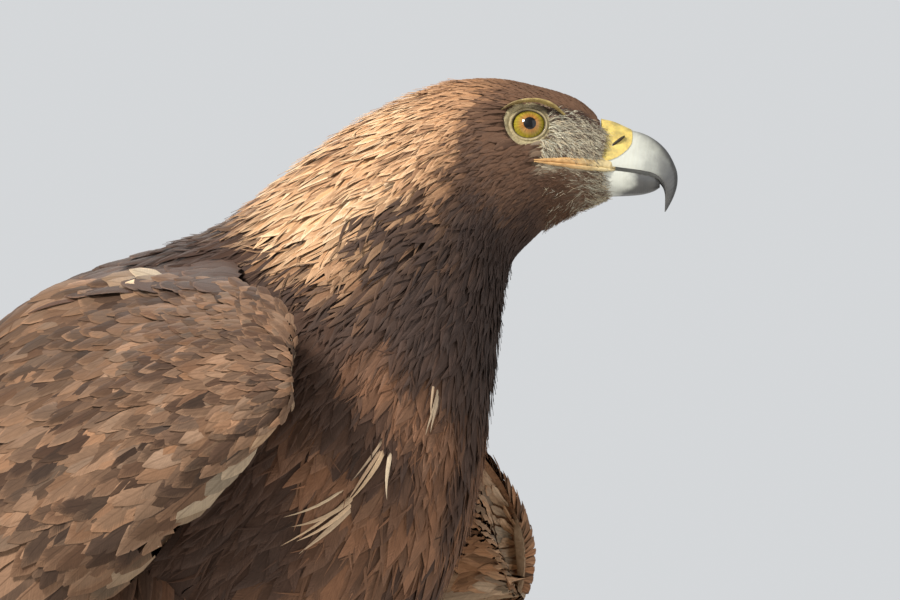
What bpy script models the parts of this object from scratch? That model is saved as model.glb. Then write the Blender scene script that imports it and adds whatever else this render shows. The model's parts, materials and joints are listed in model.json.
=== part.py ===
"""Golden eagle, life size, standing on the floor with its wings folded and its head turned to its left.

Metres, +Z up. The body faces +X, +Y is the bird's left, and the soles stand on z = 0.
Sizes in the tables are millimetres and are scaled by MM where they are used.
"""

import math
import random

import bmesh
import bpy
import numpy as np
from mathutils import Matrix, Vector

MM = 0.001

# The gap that pieces keep to each other, and the wider one round the wings.
GAP = 0.3 * MM
WING_GAP = 0.45 * MM

# Edges sharper than this are drawn sharp.
SHARP_ANGLE = math.radians(40)

# How finely the solids are divided: sides and rows of the tubes and balls, and rows of the lofts.
HEAD_SEGMENTS = 22
HEAD_ROWS = 13
BODY_SEGMENTS = 20
NECK_DIVISIONS = 8
TORSO_ROWS = 13
UPPER_BILL_ROWS = 16
LOWER_BILL_ROWS = 10
EYE_GRID = (12, 8)
ORBIT_SIDES = 12
BROW_GRID = (5, 5)
MOUTH_GRID = (4, 4)
NOSTRIL_GRID = (8, 5)
TAIL_GRID = (14, 8)
LEG_GRID = (12, 8)
TARSUS_GRID = (10, 6)
TOE_GRID = (8, 6)
CLAW_GRID = (6, 6)

# The neck turns about a vertical line at this X, and the head ends up turned by HEAD_TURN.
NECK_X = 20.0
HEAD_TURN = math.radians(28.0)

# Eye, in the head's own profile: forward of the neck line, height, and out from the middle.
EYE_FORWARD = 85.0
EYE_HEIGHT = 545.0
EYE_OUT = 15.0
EYE_RADIUS = 10.2
LID_RADIUS = 8.4
LID_TUBE = 1.2
LID_SEGMENTS = 12
LID_SIDES = 4

# Body sections from the bill's root to the tail's root.
# Each is: back point (forward, height), belly point (forward, height), half width,
# share of the way up from belly to back where it is widest, and turn in degrees.
BODY = (
    ((122, 553.5), (122, 512), 14, 0.50, 28),
    ((109, 564), (110, 506), 20, 0.52, 28),
    ((88, 570.5), (96, 499), 26, 0.56, 28),
    ((68, 574), (86, 490.5), 32, 0.52, 28),
    ((46, 572), (77, 480), 36, 0.50, 27),
    ((21, 562.5), (73, 467), 40, 0.50, 25),
    ((-3, 549.5), (71, 450), 46, 0.50, 21),
    ((-28, 532.5), (69, 431), 54, 0.50, 15),
    ((-51, 516.5), (66, 406), 62, 0.50, 8),
    ((-78, 503), (62, 380), 69, 0.50, 3),
    ((-114, 496), (56, 348), 73, 0.50, 0),
    ((-152, 483), (42, 314), 76, 0.50, 0),
    ((-190, 453), (16, 282), 77, 0.50, 0),
    ((-222, 404), (-28, 254), 74, 0.50, 0),
    ((-248, 355), (-86, 232), 65, 0.50, 0),
    ((-266, 318), (-144, 218), 50, 0.50, 0),
    ((-281, 290), (-196, 214), 36, 0.50, 0),
)
BACK_PEAK = 1.5
NECK_CUT = 4.35
TORSO_CUT = 8.6
TAIL_CUT = 15.9
CUT_SPARE = 0.4
# Wing sections from the wrist to the tip, for the left wing with its wrist at mid height.
# Each is: place along the wing, then the lower, outermost and upper points as (x, y, z).
WING = (
    (0.00, (56, 122, 368), (57, 124, 377), (55, 121, 388)),
    (0.03, (54, 125, 361), (56, 130, 379), (48, 114, 406)),
    (0.09, (36, 125, 350), (34, 134, 383), (24, 101, 431)),
    (0.18, (2, 120, 333), (-12, 134, 378), (-26, 75, 452)),
    (0.30, (-48, 113, 306), (-70, 127, 360), (-98, 44, 473)),
    (0.42, (-104, 107, 270), (-132, 119, 330), (-156, 37, 467)),
    (0.55, (-172, 99, 228), (-198, 107, 283), (-230, 28, 414)),
    (0.68, (-246, 91, 178), (-268, 93, 225), (-300, 20, 326)),
    (0.80, (-312, 81, 132), (-330, 82, 168), (-354, 25, 242)),
    (0.91, (-375, 71, 95), (-388, 70, 117), (-402, 46, 160)),
    (1.00, (-440, 63, 64), (-443, 62, 74), (-447, 58, 86)),
)

# How each wing differs near its wrist: forward, up, and how much further up its lower edge goes.
WING_SHIFT = {"right": (0.0, 22.0, 0.0), "left": (-5.0, -25.0, -20.0)}
SHIFT_FADE = 4.0

FOOT_X = -88.0
FOOT_Y = 58.0

# The dish round the eye, its lids, the brow ridge and the mouth line on the head.
SOCKET_RADIUS = EYE_RADIUS + 0.4
ORBIT_FLOOR = 19.5
ORBIT_DEPTH = 12.0
ORBIT_INNER = 8.9
ORBIT_OUTER = 12.5
LID_OUT = 21.6
LID_LONG = 1.08
BROW = ((70, 25, 551.5), (78, 27, 555), (88, 27.5, 556.3), (96, 25.2, 554.8), (103, 20.5, 550.5))
BROW_ACROSS = (1.5, 3.2, 3.6, 3.0, 1.5)
BROW_UPRIGHT = (1.0, 1.8, 2.0, 1.8, 1.0)
MOUTH = ((124, 13.0, 524.9), (112, 17.9, 524.9), (100, 22.4, 525.0), (88, 27.0, 524.9))
MOUTH_DEEP = 1.5
MOUTH_TALL = 0.45

# Bill sections: top and bottom in profile, half width, and how full the arch is.
BILL_ARCH = 11
BILL_RISE = 0.9
UPPER_HOLLOW = 0.12
LOWER_HOLLOW = 0.15
UPPER_BILL = (
    ((122.1, 553.0), (122.1, 525.3), 13.0, 0.80),
    ((129.0, 551.3), (127.3, 525.4), 11.8, 0.80),
    ((137.1, 547.7), (132.9, 525.1), 10.4, 0.85),
    ((142.2, 546.3), (138.7, 524.6), 9.4, 0.90),
    ((146.8, 544.3), (143.2, 524.2), 8.2, 0.95),
    ((151.4, 541.1), (147.1, 523.7), 6.8, 1.0),
    ((155.5, 536.7), (150.3, 522.4), 5.5, 1.0),
    ((158.5, 531.2), (152.4, 520.3), 4.6, 1.0),
    ((160.4, 525.5), (153.6, 518.0), 3.8, 1.0),
    ((160.3, 519.2), (154.2, 515.0), 3.0, 1.0),
    ((158.5, 513.3), (154.2, 511.4), 2.0, 1.0),
    ((156.3, 508.8), (154.0, 508.0), 1.1, 1.0),
    ((154.4, 505.6), (153.8, 505.4), 0.4, 1.0),
)
LOWER_BILL = (
    ((122.1, 513.8), (122.1, 524.4), 11.5, 0.75),
    ((129.0, 513.8), (129.0, 524.5), 10.4, 0.80),
    ((136.6, 514.0), (136.6, 523.9), 9.0, 0.85),
    ((143.2, 514.6), (143.2, 523.2), 7.2, 0.90),
    ((148.3, 516.0), (148.3, 522.4), 4.9, 1.0),
    ((151.5, 517.9), (151.3, 520.5), 2.4, 1.0),
)
CERE_EDGE = ((137.5, 548.1), (127.2, 527.7))
NOSTRIL = (129.5, 541.0, 9.6)
NOSTRIL_SLANT = math.radians(42)
NOSTRIL_RADII = (3.4, 3.0, 0.9)

ACROSS = (0.0, 1.0, 0.0)

# The tail's fleshy root and its coverts: place, half width and half thickness.
TAIL_CORE = (
    ((-185, 0, 290), 34, 52),
    ((-222, 0, 256), 35, 47),
    ((-255, 0, 228), 35, 33),
    ((-290, 0, 201), 36, 20),
    ((-325, 0, 175), 36, 10),
    ((-352, 0, 154), 30, 4),
)

# The long tail feathers' upper face, from inside the rump to the tip: place and half width.
TAIL = (
    ((-185, 0, 290), 34),
    ((-222, 0, 256), 35),
    ((-258, 0, 226), 35),
    ((-300, 0, 194), 38),
    ((-350, 0, 156), 42),
    ((-410, 0, 110), 46),
    ((-470, 0, 64), 48),
)
TAIL_ARCH = 4.0
TAIL_PAIRS = 6
TAIL_SPREAD = 0.72
TAIL_CLOSED = 0.8
TAIL_ROUND = 0.05
TAIL_STEP = 2.2
TAIL_TOP = -5.0
TAIL_ROOT = 0.38
TAIL_HALF_WIDTH = 16.0

# Rows of tail coverts under and over the tail: middle angle, how many, and how far they reach.
TAIL_COVERTS = ((90, 4, 0.90), (270, 4, 0.96))
TAIL_COVERT_ROOT = 0.42
TAIL_COVERT_TURN = 34.0
TAIL_COVERT_CLOSED = 0.8
TAIL_COVERT_STEP = 0.03

# Legs for the left side: the thigh's feathered cone, the shank, and the toes.
LEG = ((-84, 46, 345), (-92, 58, 300), (-97, 62, 255), (-98, 62, 205), (-100, 60, 155), (-100, 58, 118), (-98, 58, 96))
LEG_RADII = ((20, 40), (32, 62), (36, 62), (34, 50), (27, 36), (22, 26), (17, 18.5))
TARSUS = ((-100, 58, 150), (-99, 58, 105), (-96, 58, 65), (-92, 58, 32), (-91, 58, 16))
TARSUS_RADII = ((13, 14), (15, 16), (15, 16), (14.5, 15.5), (12, 13))

# Rows of leg feathers: root and tip down the leg, how many, and half width. Angles run from the left side.
LEG_ROWS = ((0.45, 0.75, 4, 12), (0.60, 0.90, 3, 12), (0.76, 1.0, 3, 8.5))
LEG_FIRST = -135
LEG_LAST = 60

# Toes: name, length, heading from straight ahead, radius, and claw length.
TOES = (
    ("middle", 58, 2, 7.8, 36),
    ("inner", 42, -42, 8.2, 42),
    ("outer", 46, 48, 7.2, 30),
    ("hallux", 34, 172, 8.6, 48),
)
TOE_KNOTS = (0, 0.22, 0.5, 0.8, 1.0)
TOE_SWELL = (1.25, 1.12, 1.0, 0.97, 0.72)
TOE_FLAT = 0.95
TOE_ROOT = 9
TOE_SINK = 0.88
CLAW_SUNK = 3.0
CLAW_BEND = math.radians(95)
CLAW_RISE = math.radians(38)
CLAW_CLEAR = 1.0
CLAW_STEPS = 7
CLAW_SHARE = 0.62
CLAW_NARROW = 0.85
CLAW_TIP = 0.35

# Feather outlines: place along the feather, and share of its half width.
VANE_BROAD = ((0.0, 0.45), (0.35, 0.95), (0.7, 1.0), (0.9, 0.72), (1.0, 0.25))
VANE_POINTED = ((0.0, 0.6), (0.4, 1.0), (0.65, 0.8), (0.88, 0.38), (1.0, 0.1))
VANE_LONG = ((0.0, 0.5), (0.3, 0.9), (0.75, 1.0), (0.92, 0.7), (1.0, 0.2))
VANE_THICK = 0.8
VANE_TAPER = 0.3
VANE_CAMBER = 0.35

# Lift over the surface at root, middle and tip, for the tail's and legs' coverts and the neck's.
COVERT_LIFT = (-2.5, 1.1, 2.5)
COVERT_HALF_WIDTH = 13.0
NECK_LIFT = (-1.8, 1.4, 3.2)
NECK_WIDTH_SHARE = 0.47

# Rows of neck feathers: root and tip sections, first and last angle from the back, and how many a side.
NECK_ROWS = (
    (4.50, 5.95, 0, 116, 4),
    (5.30, 6.80, 8, 128, 4),
    (6.10, 7.60, 0, 132, 4),
    (6.85, 8.25, 8, 135, 4),
    (7.45, 8.95, 0, 50, 2),
)

# Tiers of each wing. root and tip are places along the wing for the lowest and highest feathers
# (tip also for the middle one), and low and high are where those lie across the wing at root and tip.
WING_TIERS = (
    {"count": 7, "root": (0.50, 0.50), "tip": (0.90, 0.995, 0.92), "low": (0.03, 0.04), "high": (0.50, 0.96),
     "width": 10.5, "lift": (-7.0, -5.0, -1.2), "tilt": 0.20, "rows": 5, "outline": VANE_LONG},
    {"count": 7, "root": (0.38, 0.36), "tip": (0.80, 0.72, 0.62), "low": (0.06, 0.08), "high": (0.98, 0.98),
     "width": 16.5, "lift": (-3.5, -1.2, 1.2), "tilt": 0.09, "rows": 4, "outline": VANE_BROAD},
    {"count": 7, "root": (0.25, 0.25), "tip": (0.46, 0.44, 0.43), "low": (0.02, 0.02), "high": (0.98, 0.98),
     "width": 16.5, "lift": (-2.5, 0.6, 2.2), "tilt": 0.08, "rows": 4, "outline": VANE_BROAD},
    {"count": 6, "root": (0.17, 0.17), "tip": (0.31, 0.31, 0.30), "low": (0.02, 0.02), "high": (0.98, 0.98),
     "width": 15.5, "lift": (-2.2, 1.0, 2.8), "tilt": 0.08, "rows": 3, "outline": VANE_BROAD},
    {"count": 5, "root": (0.10, 0.10), "tip": (0.21, 0.21, 0.21), "low": (0.03, 0.02), "high": (0.97, 0.98),
     "width": 12.5, "lift": (-2.0, 1.2, 3.0), "tilt": 0.09, "rows": 3, "outline": VANE_BROAD},
    {"count": 4, "root": (0.04, 0.04), "tip": (0.13, 0.13, 0.13), "low": (0.06, 0.04), "high": (0.94, 0.96),
     "width": 10.5, "lift": (-1.8, 1.2, 3.0), "tilt": 0.1, "rows": 3, "outline": VANE_BROAD},
)

# The wing's core: how far it lies under the outer face, and how thick it is, along the wing.
CORE_END = 0.62
CORE_ROWS = 13
CORE_COLUMNS = 7
CORE_SINK = ((0.0, 0.0), (0.35, 0.0), (0.62, 4.5))
CORE_THICK = ((0.0, 5), (0.03, 16), (0.09, 30), (0.2, 36), (0.35, 26), (0.5, 14), (0.62, 6))


# Shared helpers

def smooth_path(knots, values, at):
    """Values of a smooth curve through the knots, read at each place in at."""
    knots = np.asarray(knots, float)
    values = np.asarray(values, float)
    slopes = np.gradient(values, knots, axis=0)
    at = np.clip(np.asarray(at, float), knots[0], knots[-1])
    i = np.clip(np.searchsorted(knots, at, side="right") - 1, 0, len(knots) - 2)
    span = knots[i + 1] - knots[i]
    t = (at - knots[i]) / span
    tail = (1,) * (values.ndim - 1)
    span = span.reshape(span.shape + tail)
    t = t.reshape(t.shape + tail)
    return (
        (2 * t**3 - 3 * t**2 + 1) * values[i]
        + (t**3 - 2 * t**2 + t) * span * slopes[i]
        + (3 * t**2 - 2 * t**3) * values[i + 1]
        + (t**3 - t**2) * span * slopes[i + 1]
    )


def unit(v):
    return v / np.maximum(np.linalg.norm(v, axis=-1, keepdims=True), 1e-12)


def material(name, colour, roughness, metallic=0.0):
    made = bpy.data.materials.new(name)
    made.use_nodes = True
    shader = made.node_tree.nodes["Principled BSDF"]
    shader.inputs["Base Color"].default_value = (*colour, 1.0)
    shader.inputs["Roughness"].default_value = roughness
    shader.inputs["Metallic"].default_value = metallic
    return made


def new_object(name, mesh, surface=None):
    made = bpy.data.objects.new(name, mesh)
    PARTS.objects.link(made)
    if surface:
        made.data.materials.clear()
        made.data.materials.append(surface)
    return made


def mesh_of(name, points, faces):
    mesh = bpy.data.meshes.new(name)
    mesh.from_pydata([tuple(p) for p in points], [], [tuple(f) for f in faces])
    mesh.update()
    return mesh


def loft(name, rings, surface=None):
    """A closed solid through rings of equal counts, with its ends filled by fans."""
    rings = np.asarray(rings, float)
    count, around = rings.shape[:2]
    points = np.vstack([rings.reshape(-1, 3), rings[0].mean(0), rings[-1].mean(0)])
    start, end = count * around, count * around + 1
    faces = []
    for i in range(count - 1):
        for j in range(around):
            a, b = i * around + j, i * around + (j + 1) % around
            faces.append((a, b, b + around, a + around))
    for j in range(around):
        k = (j + 1) % around
        faces.append((start, k, j))
        faces.append((end, (count - 1) * around + j, (count - 1) * around + k))
    made = new_object(name, mesh_of(name, points, faces), surface)
    face_outwards(made)
    return made


def face_outwards(obj):
    work = bmesh.new()
    work.from_mesh(obj.data)
    bmesh.ops.recalc_face_normals(work, faces=work.faces)
    if work.calc_volume(signed=True) < 0:
        bmesh.ops.reverse_faces(work, faces=work.faces)
    work.to_mesh(obj.data)
    work.free()


def keep_side(obj, point, normal):
    """Cuts obj by a plane and keeps what lies against the normal, with the cut filled."""
    work = bmesh.new()
    work.from_mesh(obj.data)
    cut = bmesh.ops.bisect_plane(
        work,
        geom=work.verts[:] + work.edges[:] + work.faces[:],
        plane_co=Vector(point),
        plane_no=Vector(normal),
        dist=1e-7,
        clear_outer=True,
    )
    edges = [e for e in cut["geom_cut"] if isinstance(e, bmesh.types.BMEdge)]
    bmesh.ops.holes_fill(work, edges=edges, sides=0)
    bmesh.ops.triangulate(work, faces=[f for f in work.faces if len(f.verts) > 4])
    bmesh.ops.recalc_face_normals(work, faces=work.faces)
    work.to_mesh(obj.data)
    work.free()


def apply_boolean(obj, others, operation):
    """Joins or cuts obj with other closed meshes in one Boolean, then removes them."""
    group = bpy.data.collections.new("tools")
    bpy.context.scene.collection.children.link(group)
    for other in others:
        for holder in list(other.users_collection):
            holder.objects.unlink(other)
        group.objects.link(other)
    step = obj.modifiers.new("join", "BOOLEAN")
    step.operation = operation
    step.operand_type = "COLLECTION"
    step.collection = group
    step.solver = "MANIFOLD"
    graph = bpy.context.evaluated_depsgraph_get()
    made = bpy.data.meshes.new_from_object(obj.evaluated_get(graph))
    obj.modifiers.remove(step)
    obj.data = made
    for other in others:
        bpy.data.objects.remove(other)
    bpy.data.collections.remove(group)
    keep_largest(obj)


def keep_largest(obj):
    """Leaves only the closed surface that holds the most."""
    work = bmesh.new()
    work.from_mesh(obj.data)
    unseen = set(work.verts)
    shells = []
    while unseen:
        stack = [unseen.pop()]
        shell = set(stack)
        while stack:
            for edge in stack.pop().link_edges:
                for vert in edge.verts:
                    if vert in unseen:
                        unseen.discard(vert)
                        shell.add(vert)
                        stack.append(vert)
        shells.append(shell)
    if len(shells) > 1:
        volumes = []
        for shell in shells:
            faces = {f for v in shell for f in v.link_faces}
            volumes.append(sum(cone_volume([v.co for v in f.verts]) for f in faces))
        best = int(np.argmax(volumes))
        loose = [v for k, shell in enumerate(shells) if k != best for v in shell]
        bmesh.ops.delete(work, geom=loose, context="VERTS")
    work.to_mesh(obj.data)
    work.free()


def cone_volume(corners):
    """Signed volume between the origin and one flat face."""
    pairs = zip(corners[1:], corners[2:])
    return sum(corners[0].dot(a.cross(b)) for a, b in pairs) / 6


def shade(obj):
    obj.data.shade_smooth()
    obj.data.set_sharp_from_angle(angle=SHARP_ANGLE)


# The surfaces that everything grows from

def body_section(u):
    """Middle, side axis, back axis and belly axis of the body's sections at u."""
    u = np.asarray(u, float)
    table = np.array([[*back, *belly, w, f, turn] for back, belly, w, f, turn in BODY], float)
    row = smooth_path(np.arange(len(BODY)), table, u)
    turn = np.radians(row[..., 6])
    ahead = np.stack([np.cos(turn), np.sin(turn), np.zeros_like(turn)], -1)
    side = np.stack([-np.sin(turn), np.cos(turn), np.zeros_like(turn)], -1)
    up = np.array([0.0, 0.0, 1.0])
    pivot = np.array([NECK_X, 0.0, 0.0])
    back = pivot + ahead * row[..., 0:1] + up * row[..., 1:2]
    belly = pivot + ahead * row[..., 2:3] + up * row[..., 3:4]
    middle = belly + (back - belly) * row[..., 5:6]
    return middle * MM, side * row[..., 4:5] * MM, (back - middle) * MM, (belly - middle) * MM


def body_point(u, angle):
    """A point of the body's skin. The angle runs from the back, round by the bird's left."""
    middle, side, back, belly = body_section(u)
    c, s = np.cos(angle)[..., None], np.sin(angle)[..., None]
    peak = smooth_path((4, 9, 16), (1.0, BACK_PEAK, BACK_PEAK), np.clip(u, 4, 16))[..., None]
    return middle + side * s + np.where(c > 0, back * np.abs(c) ** peak, -belly * c)


def wing_lines(s):
    """Lower, outermost and upper points of the left wing's sections at s."""
    table = np.array([[*low, *mid, *up] for _, low, mid, up in WING], float)
    row = smooth_path([line[0] for line in WING], table, s)
    return row[..., 0:3], row[..., 3:6], row[..., 6:9]


def wing_surface(side):
    """The outer face of one folded wing: s runs from wrist to tip, t from lower to upper edge."""
    mirror = np.array([1.0, 1.0 if side == "left" else -1.0, 1.0])

    def point(s, t):
        s, t = np.broadcast_arrays(np.asarray(s, float), np.asarray(t, float))
        low, mid, up = wing_lines(s)
        w = t[..., None]
        p = low * (1 - w) * (1 - 2 * w) + mid * 4 * w * (1 - w) + up * w * (2 * w - 1)
        p = p * mirror
        near = (1 - np.clip(s, 0, 1)) ** SHIFT_FADE
        forward, up, low_edge = WING_SHIFT[side]
        p[..., 0] += forward * near
        p[..., 2] += (up + low_edge * (1 - np.clip(t, 0, 1)) ** 2) * near
        return p * MM

    return point


def frame_on(surface, u, v, outward):
    """Point, two tangents per unit of u and v, and the outward normal."""
    step = 1e-3
    p = surface(u, v)
    pu = (surface(u + step, v) - surface(u - step, v)) / (2 * step)
    pv = (surface(u, v + step) - surface(u, v - step)) / (2 * step)
    n = unit(np.cross(pu, pv)) * outward
    return p, pu, pv, n


# Feathers

class Vane:
    """The form of one kind of feather: outline, half width, lift at root, middle and tip, and tilt."""

    def __init__(self, outline, half_width, lift, tilt, rows):
        self.outline = outline
        self.half_width = half_width
        self.lift = lift
        self.tilt = tilt
        self.rows = rows


def vane(surface, outward, root, tip, shape):
    """One feather over a surface, as a thin closed blade, split into triangles alike on both faces.

    Its upper edge, where the surface's second coordinate grows, lies lower than the other by the tilt,
    so that the next feather of its row covers it without touching.
    """
    f = np.linspace(0, 1, shape.rows)
    root, tip = np.asarray(root, float), np.asarray(tip, float)
    place = root + (tip - root) * f[:, None]
    p, pu, pv, normal = frame_on(surface, place[:, 0], place[:, 1], outward)
    along = unit(np.gradient(p, axis=0))
    side = unit(np.cross(normal, along))
    facing = np.sign((side * pv).sum(1, keepdims=True))
    side = side * np.where(facing == 0, 1, facing)
    width = smooth_path(*zip(*shape.outline), f) * shape.half_width * MM
    lift = smooth_path((0, 0.4, 1), shape.lift, f) * MM
    thick = VANE_THICK * MM * (1 - VANE_TAPER * f)
    # The step of both coordinates that goes one metre to the side
    uu, uv, vv = (pu * pu).sum(1), (pu * pv).sum(1), (pv * pv).sum(1)
    su, sv = (side * pu).sum(1), (side * pv).sum(1)
    scale = uu * vv - uv**2
    step = np.stack([(su * vv - sv * uv) / scale, (sv * uu - su * uv) / scale], -1)
    rings = []
    for reach, face in ((-1, 1), (0, 1), (1, 1), (1, -1), (0, -1), (-1, -1)):
        spot = place + step * (reach * width)[:, None]
        foot, _, _, up = frame_on(surface, spot[:, 0], spot[:, 1], outward)
        rise = lift - shape.tilt * reach * width + face * thick / 2
        rise = rise + (VANE_CAMBER * MM if reach == 0 else 0.0)
        rings.append(foot + up * rise[:, None])
    points = np.stack(rings, 1).reshape(-1, 3)
    faces = []
    for i in range(shape.rows - 1):
        for j in range(6):
            a, b = i * 6 + j, i * 6 + (j + 1) % 6
            c, d = b + 6, a + 6
            faces += [(a, b, c), (a, c, d)] if j < 3 else [(a, b, d), (b, c, d)]
    last = (shape.rows - 1) * 6
    faces += [(0, 4, 1), (0, 5, 4), (1, 3, 2), (1, 4, 3)]
    faces += [(last + a, last + b, last + c) for a, b, c in ((0, 1, 4), (0, 4, 5), (1, 2, 3), (1, 3, 4))]
    made = new_object("vane", mesh_of("vane", points, faces))
    face_outwards(made)
    return made


def neck_feathers():
    """The pointed golden feathers of the nape and the neck's sides, in overlapping rows."""
    pieces = []
    for root, tip, first, last, count in NECK_ROWS:
        _, across, back, _ = body_section(np.array(root))
        radius = (np.linalg.norm(across) + np.linalg.norm(back)) / 2 / MM
        turn = math.radians(last - first) / count
        shape = Vane(VANE_POINTED, NECK_WIDTH_SHARE * radius * turn, NECK_LIFT, 0.0, 3)
        for k in range(count):
            for side in (-1, 1):
                angle = side * (math.radians(first) + turn * (k + 0.5))
                reach = root + (tip - root) * random.uniform(0.94, 1.06)
                pieces.append(vane(body_point, -1.0, (root, angle), (reach, angle), shape))
    return pieces


def wing_feathers(side):
    """All tiers of one folded wing, from the small coverts at the wrist to the long primaries."""
    surface = wing_surface(side)
    outward = 1.0 if side == "left" else -1.0
    pieces = []
    for tier in WING_TIERS:
        for k in range(tier["count"]):
            share = (k + 0.5) / tier["count"]
            t_root = tier["low"][0] + (tier["high"][0] - tier["low"][0]) * share
            t_tip = tier["low"][1] + (tier["high"][1] - tier["low"][1]) * share
            s_root = tier["root"][0] + (tier["root"][1] - tier["root"][0]) * share
            s_tip = smooth_path((0, 0.5, 1), tier["tip"], np.array(share))
            s_tip = s_root + (s_tip - s_root) * random.uniform(0.95, 1.0)
            shape = Vane(tier["outline"], tier["width"], tier["lift"], tier["tilt"], tier["rows"])
            pieces.append(vane(surface, outward, (s_root, t_root), (s_tip, t_tip), shape))
    return pieces


# Materials

def make_materials():
    return {
        "brown": material("brown_plumage", (0.12, 0.07, 0.045), 0.75),
        "gold": material("golden_plumage", (0.45, 0.25, 0.12), 0.75),
        "dark": material("flight_plumage", (0.06, 0.042, 0.034), 0.65),
        "horn": material("bill_horn", (0.32, 0.33, 0.33), 0.35),
        "claw": material("claw_horn", (0.03, 0.028, 0.028), 0.3),
        "skin": material("yellow_skin", (0.78, 0.55, 0.12), 0.55),
        "eye": material("eye_gloss", (0.42, 0.26, 0.05), 0.08),
    }


# Solids shared by many pieces

def tube_surface(path, across, upright, sideways=None, knots=None):
    """The skin of a tube along a path: f runs along it, and the angle from its side towards its top."""
    path = np.asarray(path, float)
    knots = np.linspace(0, 1, len(path)) if knots is None else np.asarray(knots, float)
    table = np.column_stack([path, across, upright])
    if sideways is None:
        sideways = np.cross((0.0, 0.0, 1.0), path[-1] - path[0])
    sideways = np.asarray(sideways, float)

    def point(f, angle):
        f, angle = np.broadcast_arrays(np.asarray(f, float), np.asarray(angle, float))
        row = smooth_path(knots, table, f)
        ahead = smooth_path(knots, table, f + 0.01)[..., :3]
        behind = smooth_path(knots, table, f - 0.01)[..., :3]
        along = unit(ahead - behind)
        side = unit(sideways - along * (along @ sideways)[..., None])
        top = unit(np.cross(along, side))
        c, s = np.cos(angle)[..., None], np.sin(angle)[..., None]
        return (row[..., :3] + side * c * row[..., 3:4] + top * s * row[..., 4:5]) * MM

    return point


def tube(name, surface, grid, look=None):
    """A closed solid inside a tube's skin, with so many sides and rows."""
    around, rows = grid
    f = np.linspace(0, 1, rows)[:, None]
    angle = np.linspace(0, 2 * math.pi, around, endpoint=False)[None, :]
    return loft(name, surface(f, angle), look)


def ball(name, centre, radii, axes, segments, rings, surface=None):
    """A round or oval solid, turned to the given axes."""
    turn = Matrix.Identity(4)
    if axes is not None:
        turn = Matrix([list(v) for v in axes]).transposed().to_4x4()
    place = Matrix.Translation(Vector([c * MM for c in centre])) @ turn
    work = bmesh.new()
    bmesh.ops.create_uvsphere(work, u_segments=segments, v_segments=rings, radius=1.0)
    bmesh.ops.scale(work, verts=work.verts, vec=Vector([r * MM for r in radii]))
    bmesh.ops.transform(work, verts=work.verts, matrix=place)
    bmesh.ops.triangulate(work, faces=work.faces)
    mesh = bpy.data.meshes.new(name)
    work.to_mesh(mesh)
    work.free()
    return new_object(name, mesh, surface)


def inflated(obj, amount=GAP):
    """A copy of obj with its faces moved out, used to cut its place into a neighbour."""
    work = bmesh.new()
    work.from_mesh(obj.data)
    work.normal_update()
    moves = [v.normal * amount * min(v.calc_shell_factor(), 2.0) for v in work.verts]
    for vert, move in zip(work.verts, moves):
        vert.co += move
    mesh = bpy.data.meshes.new(obj.name + "_clear")
    work.to_mesh(mesh)
    work.free()
    return new_object(obj.name + "_clear", mesh)


def carve(obj, neighbours, amount=GAP):
    """Cuts obj clear of its neighbours."""
    apply_boolean(obj, [inflated(other, amount) for other in neighbours], "DIFFERENCE")


# Head and bill

def head_axes():
    ahead = np.array([math.cos(HEAD_TURN), math.sin(HEAD_TURN), 0.0])
    side = np.array([-math.sin(HEAD_TURN), math.cos(HEAD_TURN), 0.0])
    return ahead, side, np.array([0.0, 0.0, 1.0])


def head_point(forward, out, height):
    """A place on the turned head, in millimetres: forward of the neck line, out to the left, and up."""
    ahead, side, up = head_axes()
    forward, out, height = (np.asarray(v, float)[..., None] for v in (forward, out, height))
    return np.array([NECK_X, 0.0, 0.0]) + ahead * forward + side * out + up * height


def bill_ring(top, bottom, half_width, fullness, hollow):
    """One section of a bill half: an arch over the top, and a nearly flat edge-to-edge bottom."""
    arch = np.linspace(0, math.pi, BILL_ARCH)
    out = np.sign(np.cos(arch)) * np.abs(np.cos(arch)) ** fullness
    rise = np.sin(arch) ** BILL_RISE
    under = np.array([-0.5, 0.0, 0.5])
    out = np.concatenate([out, under])
    rise = np.concatenate([rise, np.full(3, hollow)])
    top, bottom = np.asarray(top, float), np.asarray(bottom, float)
    profile = bottom + (top - bottom) * rise[:, None]
    return head_point(profile[:, 0], out * half_width, profile[:, 1]) * MM


def bill_half(name, table, hollow, surface, count):
    table = np.array([[*top, *bottom, w, f] for top, bottom, w, f in table], float)
    row = smooth_path(np.arange(len(table)), table, np.linspace(0, len(table) - 1, count))
    rings = [bill_ring(r[0:2], r[2:4], r[4], r[5], hollow) for r in row]
    return loft(name, rings, surface)


def make_bill(looks):
    upper = bill_half("bill_upper", UPPER_BILL, UPPER_HOLLOW, looks["horn"], UPPER_BILL_ROWS)
    lower = bill_half("bill_lower", LOWER_BILL, LOWER_HOLLOW, looks["horn"], LOWER_BILL_ROWS)
    carve(lower, [upper])
    cere = upper.copy()
    cere.data = upper.data.copy()
    cere.name = "cere"
    cere.data.materials.clear()
    cere.data.materials.append(looks["skin"])
    PARTS.objects.link(cere)
    top, foot = (head_point(f, 0.0, h) for f, h in CERE_EDGE)
    normal = unit(np.cross(head_axes()[1], top - foot))
    if np.dot(normal, head_axes()[0]) < 0:
        normal = -normal
    keep_side(cere, foot * MM - normal * GAP / 2, normal)
    keep_side(upper, foot * MM + normal * GAP / 2, -normal)
    nostrils = [nostril(side) for side in (-1, 1)]
    apply_boolean(cere, nostrils, "DIFFERENCE")


def nostril(side):
    """A slit through the cere's side, longer than it is wide, slanting up and forward."""
    ahead, across, up = head_axes()
    centre = head_point(NOSTRIL[0], side * NOSTRIL[2], NOSTRIL[1])
    slant = unit(ahead * math.cos(NOSTRIL_SLANT) + up * math.sin(NOSTRIL_SLANT))
    return ball("nostril", centre, NOSTRIL_RADII, (slant, across, np.cross(slant, across)), *NOSTRIL_GRID)


def eye_centre(side, out=EYE_OUT):
    return head_point(EYE_FORWARD, side * out, EYE_HEIGHT)


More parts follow.
